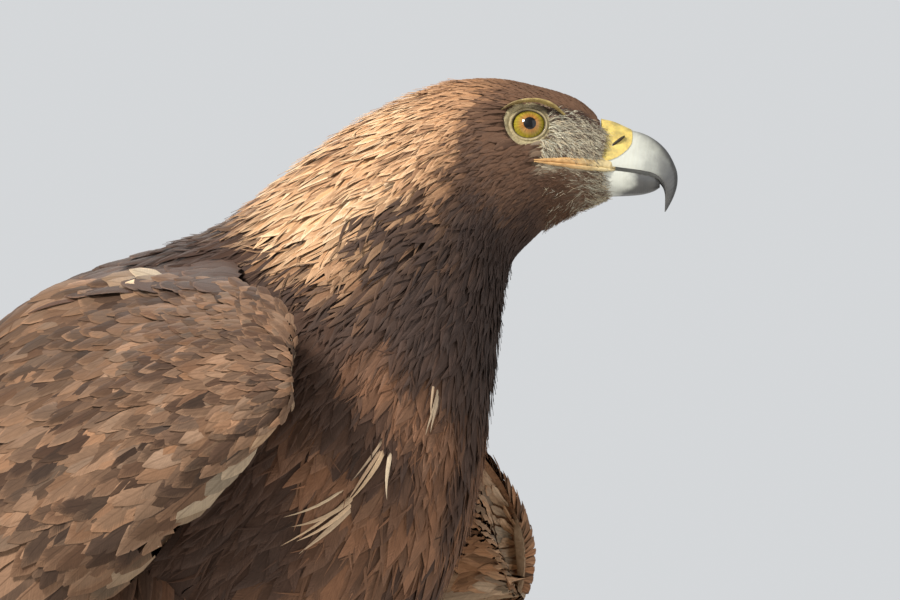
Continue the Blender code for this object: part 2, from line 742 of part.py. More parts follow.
def make_eyes(looks):
    for side, name in ((1, "eye_left"), (-1, "eye_right")):
        ball(name, eye_centre(side), (EYE_RADIUS,) * 3, None, *EYE_GRID, looks["eye"])


def brow(side):
    """The bony ridge that shades the eye."""
    path = [head_point(f, side * out, h) for f, out, h in BROW]
    return tube("brow", tube_surface(path, BROW_ACROSS, BROW_UPRIGHT), BROW_GRID)


def lid_ring(side):
    """The rim of both lids round the eye's opening."""
    ahead, across, up = head_axes()
    turn = np.linspace(0, 2 * math.pi, LID_SEGMENTS, endpoint=False)
    tube_turn = np.linspace(0, 2 * math.pi, LID_SIDES, endpoint=False)
    middle = eye_centre(side, LID_OUT)
    points, faces = [], []
    for a in turn:
        outward = ahead * math.cos(a) * LID_LONG + up * math.sin(a)
        for b in tube_turn:
            reach = LID_RADIUS + LID_TUBE * math.cos(b)
            points.append((middle + outward * reach + across * side * LID_TUBE * math.sin(b)) * MM)
    total = LID_SEGMENTS * LID_SIDES
    for i in range(LID_SEGMENTS):
        for j in range(LID_SIDES):
            a, b = i * LID_SIDES + j, i * LID_SIDES + (j + 1) % LID_SIDES
            c, d = (a + LID_SIDES) % total, (b + LID_SIDES) % total
            faces.append((a, b, d, c))
    made = new_object("lid", mesh_of("lid", points, faces))
    face_outwards(made)
    return made


def mouth_groove(side):
    """The line of the mouth, from the bill's root back to its corner below the eye."""
    path = [head_point(f, side * out, h) for f, out, h in MOUTH]
    count = len(path)
    return tube("mouth", tube_surface(path, [MOUTH_DEEP] * count, [MOUTH_TALL] * count), MOUTH_GRID)


def body_rings(first, last, count, around):
    u = np.linspace(first, last, count)[:, None]
    angle = np.linspace(0, 2 * math.pi, around, endpoint=False)[None, :]
    u, angle = np.broadcast_arrays(u, angle)
    return body_point(u, angle)


def cut_plane(u):
    """Middle and direction of the plane of the body's section at u, facing the tail."""
    middle, side, back, _ = body_section(np.array(u))
    normal = unit(np.cross(side, back))
    ahead = body_section(np.array(u - 0.2))[0]
    if np.dot(normal, middle - ahead) < 0:
        normal = -normal
    return middle, normal


def body_part(name, front, rear, count, around, surface):
    """A length of the body between two cuts, or from the body's front where there is none."""
    first = 0.0 if front is None else front - CUT_SPARE
    obj = loft(name, body_rings(first, rear + CUT_SPARE, count, around), surface)
    if front is not None:
        middle, normal = cut_plane(front)
        keep_side(obj, middle + normal * GAP / 2, -normal)
    middle, normal = cut_plane(rear)
    keep_side(obj, middle - normal * GAP / 2, normal)
    return obj


def orbit(side):
    """The dish in the head's side that the lids sit in."""
    ahead, across, up = head_axes()
    work = bmesh.new()
    bmesh.ops.create_cone(
        work,
        cap_ends=True,
        segments=ORBIT_SIDES,
        radius1=ORBIT_INNER * MM,
        radius2=ORBIT_OUTER * MM,
        depth=ORBIT_DEPTH * MM,
    )
    turn = Matrix([list(ahead), list(up * -side), list(across * side)]).transposed().to_4x4()
    middle = head_point(EYE_FORWARD, side * (ORBIT_FLOOR + ORBIT_DEPTH / 2), EYE_HEIGHT)
    place = Matrix.Translation(Vector([c * MM for c in middle])) @ turn
    bmesh.ops.transform(work, verts=work.verts, matrix=place)
    mesh = bpy.data.meshes.new("orbit")
    work.to_mesh(mesh)
    work.free()
    return new_object("orbit", mesh)


def make_head(looks):
    head = body_part("head", None, NECK_CUT, HEAD_ROWS, HEAD_SEGMENTS, looks["brown"])
    sides = (-1, 1)
    apply_boolean(head, [orbit(side) for side in sides], "DIFFERENCE")
    apply_boolean(head, [brow(side) for side in sides] + [lid_ring(side) for side in sides], "UNION")
    sockets = [ball("socket", eye_centre(side), (SOCKET_RADIUS,) * 3, None, *EYE_GRID) for side in sides]
    apply_boolean(head, sockets + [mouth_groove(side) for side in sides], "DIFFERENCE")
    return head


def neck_core(looks):
    return body_part("neck", NECK_CUT, TORSO_CUT, NECK_DIVISIONS, BODY_SEGMENTS, looks["gold"])


def make_torso(looks):
    return body_part("torso", TORSO_CUT, TAIL_CUT, TORSO_ROWS, BODY_SEGMENTS, looks["brown"])


# Tail

def tail_surface():
    """The tail's upper face: f from the rump to the tip, and a from its right edge to its left."""
    table = np.array([[*place, width] for place, width in TAIL], float)
    knots = np.linspace(0, 1, len(table))

    def point(f, a):
        f, a = np.broadcast_arrays(np.asarray(f, float), np.asarray(a, float))
        row = smooth_path(knots, table, f)
        return np.stack([row[..., 0], a * row[..., 3], row[..., 2] - TAIL_ARCH * a**2], -1) * MM

    return point


def tail_skin():
    table = np.array([[*place, w, h] for place, w, h in TAIL_CORE], float)
    return tube_surface(table[:, :3], table[:, 3], table[:, 4], ACROSS)


def tail_core(looks):
    tail = tube("tail", tail_skin(), TAIL_GRID, looks["dark"])
    middle, normal = cut_plane(TAIL_CUT)
    keep_side(tail, middle + normal * GAP / 2, -normal)
    return tail


def tail_feathers():
    """The long tail feathers, folded into a stack with the middle pair on top."""
    surface = tail_surface()
    pieces = []
    for k in range(TAIL_PAIRS):
        share = (k + 0.5) / TAIL_PAIRS
        for side in (-1, 1):
            a = side * share * TAIL_SPREAD
            tip = 1.0 - TAIL_ROUND * share**2
            level = -TAIL_TOP - TAIL_STEP * (k if side < 0 else k + 0.5)
            shape = Vane(VANE_BROAD, TAIL_HALF_WIDTH, (level,) * 3, 0.0, 4)
            pieces.append(vane(surface, -1.0, (TAIL_ROOT, a * TAIL_CLOSED), (tip, a), shape))
    return pieces


def tail_coverts():
    """Short feathers over and under the long ones' roots."""
    skin = tail_skin()
    shape = Vane(VANE_BROAD, COVERT_HALF_WIDTH, COVERT_LIFT, 0.0, 3)
    pieces = []
    for middle, count, reach in TAIL_COVERTS:
        for k in range(count):
            place = k - (count - 1) / 2
            root = math.radians(middle + place * TAIL_COVERT_TURN)
            tip = math.radians(middle + place * TAIL_COVERT_TURN * TAIL_COVERT_CLOSED)
            far = reach - TAIL_COVERT_STEP * abs(place)
            pieces.append(vane(skin, -1.0, (TAIL_COVERT_ROOT, root), (far, tip), shape))
    return pieces


# Legs

def leg_surface(side):
    path = [(x, side * y, z) for x, y, z in LEG]
    return tube_surface(path, [r[0] for r in LEG_RADII], [r[1] for r in LEG_RADII], ACROSS)


def make_leg(side, name, torso, looks):
    skin = leg_surface(side)
    thigh = tube("leg_" + name, skin, LEG_GRID, looks["brown"])
    carve(thigh, [torso])
    apply_boolean(thigh, leg_feathers(skin, side), "UNION")
    return thigh


def leg_feathers(skin, side):
    """The long feathers of the leg, hanging in rows round its outside and back."""
    pieces = []
    for root, tip, count, width in LEG_ROWS:
        for k in range(count):
            turn = math.radians(LEG_FIRST + (LEG_LAST - LEG_FIRST) * (k + 0.5) / count)
            angle = turn if side > 0 else math.pi - turn
            shape = Vane(VANE_POINTED, width, COVERT_LIFT, 0.0, 3)
            pieces.append(vane(skin, -1.0, (root, angle), (tip, angle), shape))
    return pieces


def make_tarsus(side, name, thigh, looks):
    path = [(x, side * y, z) for x, y, z in TARSUS]
    skin = tube_surface(path, [r[0] for r in TARSUS_RADII], [r[1] for r in TARSUS_RADII], ACROSS)
    tarsus = tube("tarsus_" + name, skin, TARSUS_GRID, looks["gold"])
    carve(tarsus, [thigh])
    return tarsus


def toe_points(toe, side):
    """The middle line of one toe, from the foot's middle out to the claw's root."""
    _, length, heading, radius, _ = toe
    turn = math.radians(heading) * side
    ahead = np.array([math.cos(turn), math.sin(turn), 0.0])
    start = np.array([FOOT_X, side * FOOT_Y, 0.0])
    lift = radius * TOE_SINK
    arch = ((0.0, 15.0), (0.22, 13.0), (0.5, lift + 1.5), (0.8, lift), (1.0, lift + 1.0))
    return [start + ahead * (f * (length + TOE_ROOT)) + np.array([0, 0, h]) for f, h in arch], ahead


def make_foot(side, name, tarsus, looks):
    pieces = []
    for toe in TOES:
        path, _ = toe_points(toe, side)
        swell = np.array(TOE_SWELL) * toe[3]
        skin = tube_surface(path, swell, swell * TOE_FLAT, None, TOE_KNOTS)
        pieces.append(tube("toe", skin, TOE_GRID, looks["skin"]))
    foot = pieces[0]
    foot.name = "foot_" + name
    apply_boolean(foot, pieces[1:], "UNION")
    carve(foot, [tarsus])
    keep_side(foot, (0, 0, 0), (0, 0, -1))
    return foot


def claw(toe, side, name, foot, looks):
    """A claw on an arc, thick at its root, with its point just off the floor."""
    path, ahead = toe_points(toe, side)
    start = path[-1] - ahead * CLAW_SUNK
    turn = np.linspace(0, 1, CLAW_STEPS)
    bend = CLAW_BEND * turn
    radius = toe[4] / CLAW_BEND
    forward = radius * (np.sin(bend - CLAW_RISE) + math.sin(CLAW_RISE))
    up = radius * (np.cos(bend - CLAW_RISE) - math.cos(CLAW_RISE))
    points = start + forward[:, None] * ahead + up[:, None] * np.array([0.0, 0.0, 1.0])
    points[:, 2] -= (points[-1, 2] - CLAW_CLEAR) * turn**1.5
    thick = toe[3] * CLAW_SHARE * (1 - turn) ** 0.7 + CLAW_TIP
    skin = tube_surface(points, thick * CLAW_NARROW, thick, np.cross((0, 0, 1), ahead))
    made = tube(name, skin, CLAW_GRID, looks["claw"])
    carve(made, [foot])
    return made


# Wings

def wing_core(side, name, looks):
    """The fleshy and fully feathered thickness of the folded wing, under its outer face."""
    surface = wing_surface(side)
    outward = 1.0 if side == "left" else -1.0
    s = CORE_END * np.linspace(0, 1, CORE_ROWS)[:, None] ** 1.5
    t = np.linspace(0, 1, CORE_COLUMNS)[None, :]
    s, t = np.broadcast_arrays(s, t)
    face, _, _, normal = frame_on(surface, s, t, outward)
    sink = smooth_path(*zip(*CORE_SINK), s.ravel()).reshape(s.shape)[..., None] * MM
    thick = smooth_path(*zip(*CORE_THICK), s.ravel()).reshape(s.shape)[..., None] * MM
    outer = face - normal * sink
    inner = face - normal * (sink + thick)
    rings = np.concatenate([outer, inner[:, ::-1]], axis=1)
    return loft(name, rings, looks["dark"])


def make_wing(side, cleared, looks):
    wing = wing_core(side, "wing_" + side, looks)
    carve(wing, cleared, WING_GAP)
    apply_boolean(wing, wing_feathers(side), "UNION")


def stand_on_origin():
    """Moves everything so that the origin is under the middle of the whole bird."""
    corners = np.array([v.co[:] for obj in PARTS.objects for v in obj.data.vertices])
    middle = (corners.min(0) + corners.max(0)) / 2
    for obj in PARTS.objects:
        obj.data.transform(Matrix.Translation((-middle[0], -middle[1], 0)))
        shade(obj)


def main():
    looks = make_materials()
    make_head(looks)
    neck = neck_core(looks)
    torso = make_torso(looks)
    tail = tail_core(looks)
    thighs = []
    for side, name in ((1, "left"), (-1, "right")):
        thigh = make_leg(side, name, torso, looks)
        tarsus = make_tarsus(side, name, thigh, looks)
        foot = make_foot(side, name, tarsus, looks)
        for toe in TOES:
            claw(toe, side, f"claw_{name}_{toe[0]}", foot, looks)
        thighs.append(thigh)
    for side in ("left", "right"):
        make_wing(side, [torso, neck, tail, *thighs], looks)
    apply_boolean(neck, neck_feathers(), "UNION")
    apply_boolean(tail, tail_feathers() + tail_coverts(), "UNION")
    make_bill(looks)
    make_eyes(looks)
    stand_on_origin()


for old in list(bpy.data.objects):
    bpy.data.objects.remove(old)
random.seed(7)
PARTS = bpy.data.collections.new("golden_eagle")
bpy.context.scene.collection.children.link(PARTS)
main()
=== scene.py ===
"""The looks of a life-size golden eagle: one skin, and over it every feather, bristle, lid, scute and claw."""

import json
import math

import bmesh
import bpy
import numpy as np
from bpy.props import FloatProperty, FloatVectorProperty, IntProperty, PointerProperty
from mathutils import Matrix, Vector

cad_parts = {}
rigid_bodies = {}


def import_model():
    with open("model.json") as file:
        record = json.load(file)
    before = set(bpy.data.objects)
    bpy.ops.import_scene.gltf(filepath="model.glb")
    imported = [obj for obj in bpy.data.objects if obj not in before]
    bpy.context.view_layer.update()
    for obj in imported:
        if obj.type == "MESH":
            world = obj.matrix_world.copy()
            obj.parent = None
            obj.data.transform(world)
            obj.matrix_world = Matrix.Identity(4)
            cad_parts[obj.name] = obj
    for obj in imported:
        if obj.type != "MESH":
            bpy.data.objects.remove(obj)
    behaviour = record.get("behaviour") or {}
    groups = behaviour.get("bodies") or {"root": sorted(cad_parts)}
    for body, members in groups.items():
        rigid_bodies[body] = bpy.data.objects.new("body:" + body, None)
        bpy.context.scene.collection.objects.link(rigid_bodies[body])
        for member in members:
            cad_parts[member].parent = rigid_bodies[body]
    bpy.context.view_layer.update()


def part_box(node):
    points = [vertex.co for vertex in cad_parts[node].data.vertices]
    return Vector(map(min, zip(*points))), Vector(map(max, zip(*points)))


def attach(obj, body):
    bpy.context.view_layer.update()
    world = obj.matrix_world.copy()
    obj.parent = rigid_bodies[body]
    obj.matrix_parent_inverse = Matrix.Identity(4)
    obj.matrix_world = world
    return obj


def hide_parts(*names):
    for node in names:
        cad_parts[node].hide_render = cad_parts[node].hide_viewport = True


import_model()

bl_info = {
    "name": "Golden Eagle",
    "version": (1, 0, 0),
    "blender": (4, 5, 0),
    "location": "View3D > Sidebar > Eagle",
    "description": "Dresses a life-size golden eagle in skin, feathers, horn and eyes",
    "category": "Add Mesh",
}

BODY_NAME = "root"
MM = 0.001
SIDES = ((1, "left"), (-1, "right"))
SHARP_ANGLE = math.radians(60)
UP = np.array([0.0, 0.0, 1.0])
ACROSS = np.array([0.0, 1.0, 0.0])

# The neck turns about a vertical line at this X, and the head ends up turned by HEAD_TURN.
NECK_X = 20.0
HEAD_TURN = math.radians(28.0)
EYE_FORWARD, EYE_OUT, EYE_HEIGHT = 85.0, 15.0, 545.0

# Body sections from the bill's root to the tail's root, in millimetres: back point (forward, height),
# belly point (forward, height), half width, share of the way up where it is widest, and turn in degrees.
BODY = (
    ((122, 553.5), (122, 512), 14, 0.50, 28),
    ((109, 564), (110, 506), 20, 0.52, 28),
    ((88, 570.5), (96, 499), 26, 0.56, 28),
    ((68, 574), (86, 490.5), 32, 0.52, 28),
    ((46, 572), (77, 480), 36, 0.50, 27),
    ((21, 562.5), (73, 467), 40, 0.50, 25),
    ((-3, 549.5), (71, 450), 46, 0.50, 21),
    ((-28, 532.5), (69, 431), 54, 0.50, 15),
    ((-51, 516.5), (66, 406), 62, 0.50, 8),
    ((-78, 503), (62, 380), 69, 0.50, 3),
    ((-114, 496), (56, 348), 73, 0.50, 0),
    ((-152, 483), (42, 314), 76, 0.50, 0),
    ((-190, 453), (16, 282), 77, 0.50, 0),
    ((-222, 404), (-28, 254), 74, 0.50, 0),
    ((-248, 355), (-86, 232), 65, 0.50, 0),
    ((-266, 318), (-144, 218), 50, 0.50, 0),
    ((-281, 290), (-196, 214), 36, 0.50, 0),
)
BACK_PEAK = 1.5

# Wing sections from the wrist to the tip: place, then lower, outermost and upper points of the left wing.
WING = (
    (0.00, (56, 122, 368), (57, 124, 377), (55, 121, 388)),
    (0.03, (54, 125, 361), (56, 130, 379), (48, 114, 406)),
    (0.09, (36, 125, 350), (34, 134, 383), (24, 101, 431)),
    (0.18, (2, 120, 333), (-12, 134, 378), (-26, 75, 452)),
    (0.30, (-48, 113, 306), (-70, 127, 360), (-98, 44, 473)),
    (0.42, (-104, 107, 270), (-132, 119, 330), (-156, 37, 467)),
    (0.55, (-172, 99, 228), (-198, 107, 283), (-230, 28, 414)),
    (0.68, (-246, 91, 178), (-268, 93, 225), (-300, 20, 326)),
    (0.80, (-312, 81, 132), (-330, 82, 168), (-354, 25, 242)),
    (0.91, (-375, 71, 95), (-388, 70, 117), (-402, 46, 160)),
    (1.00, (-440, 63, 64), (-443, 62, 74), (-447, 58, 86)),
)
WING_SHIFT = {1: (-5.0, -25.0, -20.0), -1: (0.0, 22.0, 0.0)}
SHIFT_FADE = 4.0

# The skin of a wing: how far along it reaches, and its depth under the outer face and under the lining.
WING_CORE_END = 0.62
WING_SKIN, LINING_SKIN = 2.8, 2.4

# The tail's fleshy root, and the upper face of its long feathers with their half width.
TAIL_CORE = (
    ((-185, 0, 290), 34, 52), ((-222, 0, 256), 35, 47), ((-255, 0, 228), 35, 33),
    ((-290, 0, 201), 36, 20), ((-325, 0, 175), 36, 10), ((-352, 0, 154), 30, 4),
)
TAIL = (
    ((-185, 0, 290), 34), ((-222, 0, 256), 35), ((-258, 0, 226), 35), ((-300, 0, 194), 38),
    ((-350, 0, 156), 42), ((-410, 0, 110), 46), ((-470, 0, 64), 48),
)
TAIL_ARCH = 4.0
TAIL_PAIRS = 6

# Legs, for the left side.
LEG = (
    (-84, 46, 345), (-92, 58, 300), (-97, 62, 255), (-98, 62, 205), (-100, 60, 155), (-100, 58, 118),
    (-98, 58, 96),
)
LEG_RADII = ((20, 40), (32, 62), (36, 62), (34, 50), (27, 36), (22, 26), (17, 18.5))
TARSUS = ((-100, 58, 150), (-99, 58, 105), (-96, 58, 65), (-92, 58, 32), (-91, 58, 16))
TARSUS_RADII = ((13, 14), (15, 16), (15, 16), (14.5, 15.5), (12, 13))
FOOT_X, FOOT_Y = -88.0, 58.0

# Toes: name, length, heading from straight ahead in degrees, radius, claw length and number of scutes.
TOES = (
    ("middle", 58, 2, 7.8, 36, 13),
    ("inner", 42, -42, 8.2, 42, 9),
    ("outer", 46, 48, 7.2, 30, 10),
    ("hallux", 34, 172, 8.6, 48, 7),
)
TOE_KNOTS = (0, 0.22, 0.5, 0.8, 1.0)
TOE_SWELL = (1.25, 1.12, 1.0, 0.97, 0.72)
TOE_FLAT = 0.95
TOE_ROOT = 9
TOE_SINK = 0.88
CLAW_SUNK = 3.0
CLAW_BEND = math.radians(95)
CLAW_RISE = math.radians(38)
CLAW_CLEAR = 1.0

# Bill sections: top and bottom in profile, half width, and how full the arch is.
UPPER_BILL = (
    ((122.1, 553.0), (122.1, 525.3), 13.0, 0.80), ((129.0, 551.3), (127.3, 525.4), 11.8, 0.80),
    ((137.1, 547.7), (132.9, 525.1), 10.4, 0.85), ((142.2, 546.3), (138.7, 524.6), 9.4, 0.90),
    ((146.8, 544.3), (143.2, 524.2), 8.2, 0.95), ((151.4, 541.1), (147.1, 523.7), 6.8, 1.0),
    ((155.5, 536.7), (150.3, 522.4), 5.5, 1.0), ((158.5, 531.2), (152.4, 520.3), 4.6, 1.0),
    ((160.4, 525.5), (153.6, 518.0), 3.8, 1.0), ((160.3, 519.2), (154.2, 515.0), 3.0, 1.0),
    ((158.5, 513.3), (154.2, 511.4), 2.0, 1.0), ((156.3, 508.8), (154.0, 508.0), 1.1, 1.0),
    ((154.4, 505.6), (153.8, 505.4), 0.4, 1.0),
)
LOWER_BILL = (
    ((122.1, 513.8), (122.1, 524.4), 11.5, 0.75), ((129.0, 513.8), (129.0, 524.5), 10.4, 0.80),
    ((136.6, 514.0), (136.6, 523.9), 9.0, 0.85), ((143.2, 514.6), (143.2, 523.2), 7.2, 0.90),
    ((148.3, 516.0), (148.3, 522.4), 4.9, 1.0), ((151.5, 517.9), (151.3, 520.5), 2.4, 1.0),
)
BILL_RISE = 0.9
BILL_ARCH_END = 0.78
UPPER_HOLLOW, LOWER_HOLLOW = 0.12, 0.15
NOSTRIL = (130.1, 539.4, 10.7)
NOSTRIL_SLANT = math.radians(40)
NOSTRIL_RADII = (4.5, 2.4, 0.8)

# The front and lower edge of the cere in profile, from the top of the bill back to the lips.
CERE_EDGE = (
    (136.6, 549.5), (137.6, 546.0), (137.6, 542.0), (137.0, 538.6), (135.2, 535.6), (132.4, 533.0),
    (129.4, 530.8), (126.0, 529.2), (121.0, 528.4),
)

# The brow ridge and the line of the mouth behind the bill: forward, out and height on the head.
BROW = ((70, 25.0, 551.2), (78, 27.2, 555.0), (88, 27.6, 556.2), (96, 25.6, 554.6), (103, 20.9, 550.5))
MOUTH = ((127, 11.9, 525.0), (118, 15.2, 525.1), (109, 19.2, 525.2), (99, 23.2, 525.2), (89, 27.0, 525.0))

LID_SLOPE = 0.22

# The coat down the body, by section: row step, side step, feather length and half width, and depth.
COAT = (
    (-0.5, 1.4, 0.9, 4.5, 0.45, 1.0),
    (0.0, 1.4, 0.9, 5.0, 0.45, 1.0),
    (1.0, 1.7, 1.1, 7.5, 0.55, 1.3),
    (2.0, 2.1, 1.3, 10.5, 0.68, 1.8),
    (3.0, 2.7, 1.7, 15.0, 0.90, 2.4),
    (4.0, 3.8, 2.4, 23.0, 1.40, 3.2),
    (5.0, 5.0, 3.2, 31.0, 2.0, 4.2),
    (6.5, 6.4, 4.0, 38.0, 2.8, 5.2),
    (8.0, 7.2, 4.8, 42.0, 3.4, 6.0),
    (9.5, 8.2, 5.6, 46.0, 4.0, 6.5),
    (12.0, 10.0, 7.4, 52.0, 5.4, 7.0),
    (16.0, 12.0, 9.5, 56.0, 7.0, 7.0),
)

# The coat over the wing's small coverts, by how far down the wing: length and half width.
COVERTS = ((0.0, 10.0, 1.8), (0.05, 17.0, 2.7), (0.12, 29.0, 4.4), (0.20, 40.0, 6.4), (0.30, 50.0, 8.4))
COVERT_SLANT = 0.20
LINING_DEPTH = ((0.0, 0.03, 0.09, 0.2, 0.35, 0.5, 0.66), (4, 13, 25, 30, 21, 10, 3))
LINING_EDGE = 6.0

# The mantle lies over the back between the upper edges of the wings: place along the wing, then the ridge.
MANTLE = (
    (0.12, (-50, 0, 512)), (0.20, (-82, 0, 501)), (0.28, (-118, 0, 495.5)), (0.36, (-156, 0, 487)),
    (0.44, (-192, 0, 471)), (0.52, (-230, 0, 435)), (0.60, (-268, 0, 388)), (0.68, (-303, 0, 338)),
)
MANTLE_EDGE = 0.95

# Wing rows: roots, tips at the lower edge, middle and upper edge, how many, half width, lift at root, middle
# and tip, tilt, outline, spread of the roots and of the tips across the wing, and how far the row slants.
WING_ROWS = (
    (0.500, (0.90, 0.995, 0.92), 10, 10.0, (-7.0, -5.0, -1.2), 0.16, "long", (0.03, 0.50), (0.04, 0.96), 0.0),
    (0.360, (0.80, 0.72, 0.62), 14, 12.0, (-4.5, -2.0, 0.2), 0.12, "long", (0.05, 0.98), (0.06, 0.98), 0.06),
    (0.315, (0.56, 0.54, 0.50), 13, 11.0, (-4.0, -1.4, 0.8), 0.12, "broad", (0.03, 0.98), (0.03, 0.98), 0.14),
    (0.270, (0.455, 0.45, 0.44), 15, 9.0, (-3.6, -0.9, 1.3), 0.12, "broad", (0.03, 0.98), (0.03, 0.98), 0.18),
    (0.230, (0.375, 0.37, 0.365), 17, 7.4, (-3.4, -0.7, 1.5), 0.12, "covert", (0.03, 0.98), (0.03, 0.98), 0.20),
    (0.190, (0.315, 0.31, 0.305), 19, 6.4, (-3.2, -0.6, 1.6), 0.12, "covert", (0.03, 0.98), (0.03, 0.98), 0.20),
)

# Cream feathers on the breast: section, angle in degrees, length, how many, and how far they turn.
CREAM_STREAKS = ((9.3, 141.0, 40.0, 4, 0.10), (10.2, 139.0, 48.0, 5, 0.25), (8.1, 148.0, 30.0, 3, 0.05))

# Coats over the body: first and last section, how dense, outline, rings, how far the tips stand off, how wide,
# how far the feathers turn and curl, the angles in degrees that they cover, and points across each vane.
BODY_COATS = {
    "head_feathers": (0.05, 3.9, 1.12, "small", 4, 0.10, 1.45, 0.07, 0.10, (0, 180), 4),
    "neck_feathers": (3.3, 8.6, 1.0, "pointed", 6, 1.0, 1.25, 0.10, 0.16, (0, 180), 4),
    "neck_strands": (3.5, 8.8, 1.0, "pointed", 5, 1.6, 0.40, 0.12, 0.20, (0, 180), 4),
    "breast_feathers": (7.6, 15.9, 1.0, "lax", 6, 1.4, 1.35, 0.13, 0.20, (58, 180), 4),
    "breast_strands": (7.6, 15.0, 1.1, "pointed", 5, 2.2, 0.24, 0.18, 0.30, (58, 180), 4),
    "back_feathers": (7.8, 15.9, 0.9, "covert", 8, 1.6, 1.30, 0.10, 0.15, (0, 62), 6),
}

# Bristles before the eye: how many, half width, shortest and longest, lift, and share of dark ones.
LORES = ((2600, 0.28, (3.0, 5.5), (0.0, 0.3), 0.08), (900, 0.13, (4.5, 8.5), (0.4, 1.5), 0.45))
CHIN_BRISTLES = 1300

# The lid's profile from the opening outwards: place, reach past the opening, and how far out.
LID_PROFILE = (
    (0.0, 0.1, 21.6), (0.10, -0.35, 22.6), (0.24, 0.25, 23.5), (0.38, 1.1, 23.5), (0.48, 1.7, 22.9),
    (0.60, 2.6, 23.3), (0.74, 3.8, 23.1), (0.86, 4.8, 22.2), (1.0, 6.2, 19.0),
)

# Half heights of the lips from the cere back to the mouth's corner, as shares of their thickness.
LIP_HEIGHTS = {1: (0.7, 1.7, 1.9, 1.6, 1.1, 0.25), -1: (0.3, 0.7, 0.9, 0.9, 0.7, 0.2)}

# Lamps: place towards the camera, to its right and up from the target, size and tint.
LAMPS = {
    "key": ((1.8, -1.2, 1.3), 0.5, (1, 0.94, 0.86)),
    "fill": ((1.6, 1.6, 0.5), 1.8, (0.9, 0.95, 1)),
    "rim": ((-1.5, -0.6, 1.3), 0.8, (1, 0.97, 0.92)),
}

# Feather outlines: place along the feather, and share of its half width.
OUTLINES = {
    "small": ((0, 0.35), (0.4, 1.0), (0.75, 0.75), (1, 0.1)),
    "lax": ((0, 0.4), (0.3, 0.9), (0.55, 1.0), (0.75, 0.75), (0.9, 0.4), (1, 0.05)),
    "covert": ((0, 0.4), (0.35, 0.95), (0.65, 0.95), (0.85, 0.6), (1, 0.08)),
    "pointed": ((0, 0.45), (0.35, 0.95), (0.6, 0.9), (0.82, 0.5), (1, 0.06)),
    "broad": ((0, 0.4), (0.35, 0.9), (0.7, 1.0), (0.88, 0.8), (0.96, 0.5), (1, 0.12)),
    "long": ((0, 0.35), (0.25, 0.85), (0.75, 1.0), (0.92, 0.75), (0.98, 0.4), (1, 0.1)),
    "bristle": ((0, 1.0), (0.5, 0.7), (1, 0.1)),
}


# Property helpers

def length(name, description, default):
    return FloatProperty(name=name, description=description, default=default, min=0.0, unit="LENGTH", precision=4)


def share(name, description, default, high=4.0):
    return FloatProperty(name=name, description=description, default=default, min=0.0, max=high)


def colour(name, description, default):
    return FloatVectorProperty(
        name=name, description=description, default=default, size=3, min=0.0, max=1.0, subtype="COLOR"
    )


class EagleSizes(bpy.types.PropertyGroup):
    """Sizes of the eyes and the coat."""

    eye_radius: length("Eye radius", "Radius of the eyeball", 0.0102)
    iris_radius: length("Iris radius", "Radius of the coloured ring", 0.0083)
    pupil_radius: length("Pupil radius", "Radius of the pupil", 0.0031)
    brow_thickness: length("Brow thickness", "Half height of the ridge over the eye", 0.0008)
    lip_thickness: length("Lip thickness", "Half height of the fleshy lips", 0.0012)
    vane_thickness: length("Vane thickness", "Thickness of a large feather's middle", 0.0005)
    head_length: share("Head feathers", "Length of the head's feathers against the usual", 1.0)
    neck_length: share("Neck feathers", "Length of the neck's feathers against the usual", 1.0)
    body_length: share("Body feathers", "Length of the body's feathers against the usual", 1.0)
    wildness: share("Wildness", "How far feathers stray from their rows and their lie", 1.0)
    seed: IntProperty(name="Seed", description="Start of the random draws", default=11, min=0)


class EagleColours(bpy.types.PropertyGroup):
    """Colours of the plumage, skin, horn and eyes."""

    crown: colour("Crown", "Top of the head", (0.145, 0.082, 0.052))
    cheek: colour("Cheek", "Sides of the head", (0.125, 0.070, 0.045))
    gold: colour("Gold", "Nape and sides of the neck", (0.50, 0.265, 0.135))
    cream: colour("Cream", "Palest feather tips", (0.80, 0.62, 0.42))
    throat: colour("Throat", "Throat and front of the neck", (0.048, 0.030, 0.024))
    breast: colour("Breast", "Breast and belly", (0.060, 0.034, 0.024))
    rufous: colour("Rufous", "Warm feathers of the breast", (0.21, 0.105, 0.058))
    back: colour("Back", "Back and rump", (0.055, 0.032, 0.024))
    covert: colour("Coverts", "Wing coverts", (0.115, 0.066, 0.044))
    tawny: colour("Tawny", "Palest wing coverts and their margins", (0.27, 0.160, 0.098))
    flight: colour("Flight feathers", "Long wing feathers", (0.040, 0.026, 0.020))
    tail: colour("Tail", "Long tail feathers", (0.055, 0.038, 0.030))
    leg: colour("Legs", "Feathers of the legs", (0.085, 0.046, 0.029))
    tarsus: colour("Shanks", "Short feathers above the toes", (0.36, 0.23, 0.13))
    lore: colour("Lores", "Bare skin and bristles before the eye", (0.56, 0.50, 0.37))
    lid: colour("Lids", "Lids and brow ridge", (0.45, 0.38, 0.22))
    cere: colour("Cere", "Soft skin at the bill's root", (0.78, 0.60, 0.17))
    lip: colour("Lips", "Fleshy edge of the mouth", (0.72, 0.44, 0.19))
    horn: colour("Pale horn", "Root of the bill", (0.60, 0.62, 0.56))
    horn_tip: colour("Dark horn", "Tip of the bill and the claws", (0.030, 0.032, 0.036))
    iris: colour("Iris", "Outer ring of the eye", (0.36, 0.30, 0.030))
    iris_inner: colour("Inner iris", "Ring round the pupil", (0.34, 0.15, 0.035))
    toe: colour("Toes", "Bare skin of the feet", (0.85, 0.62, 0.12))


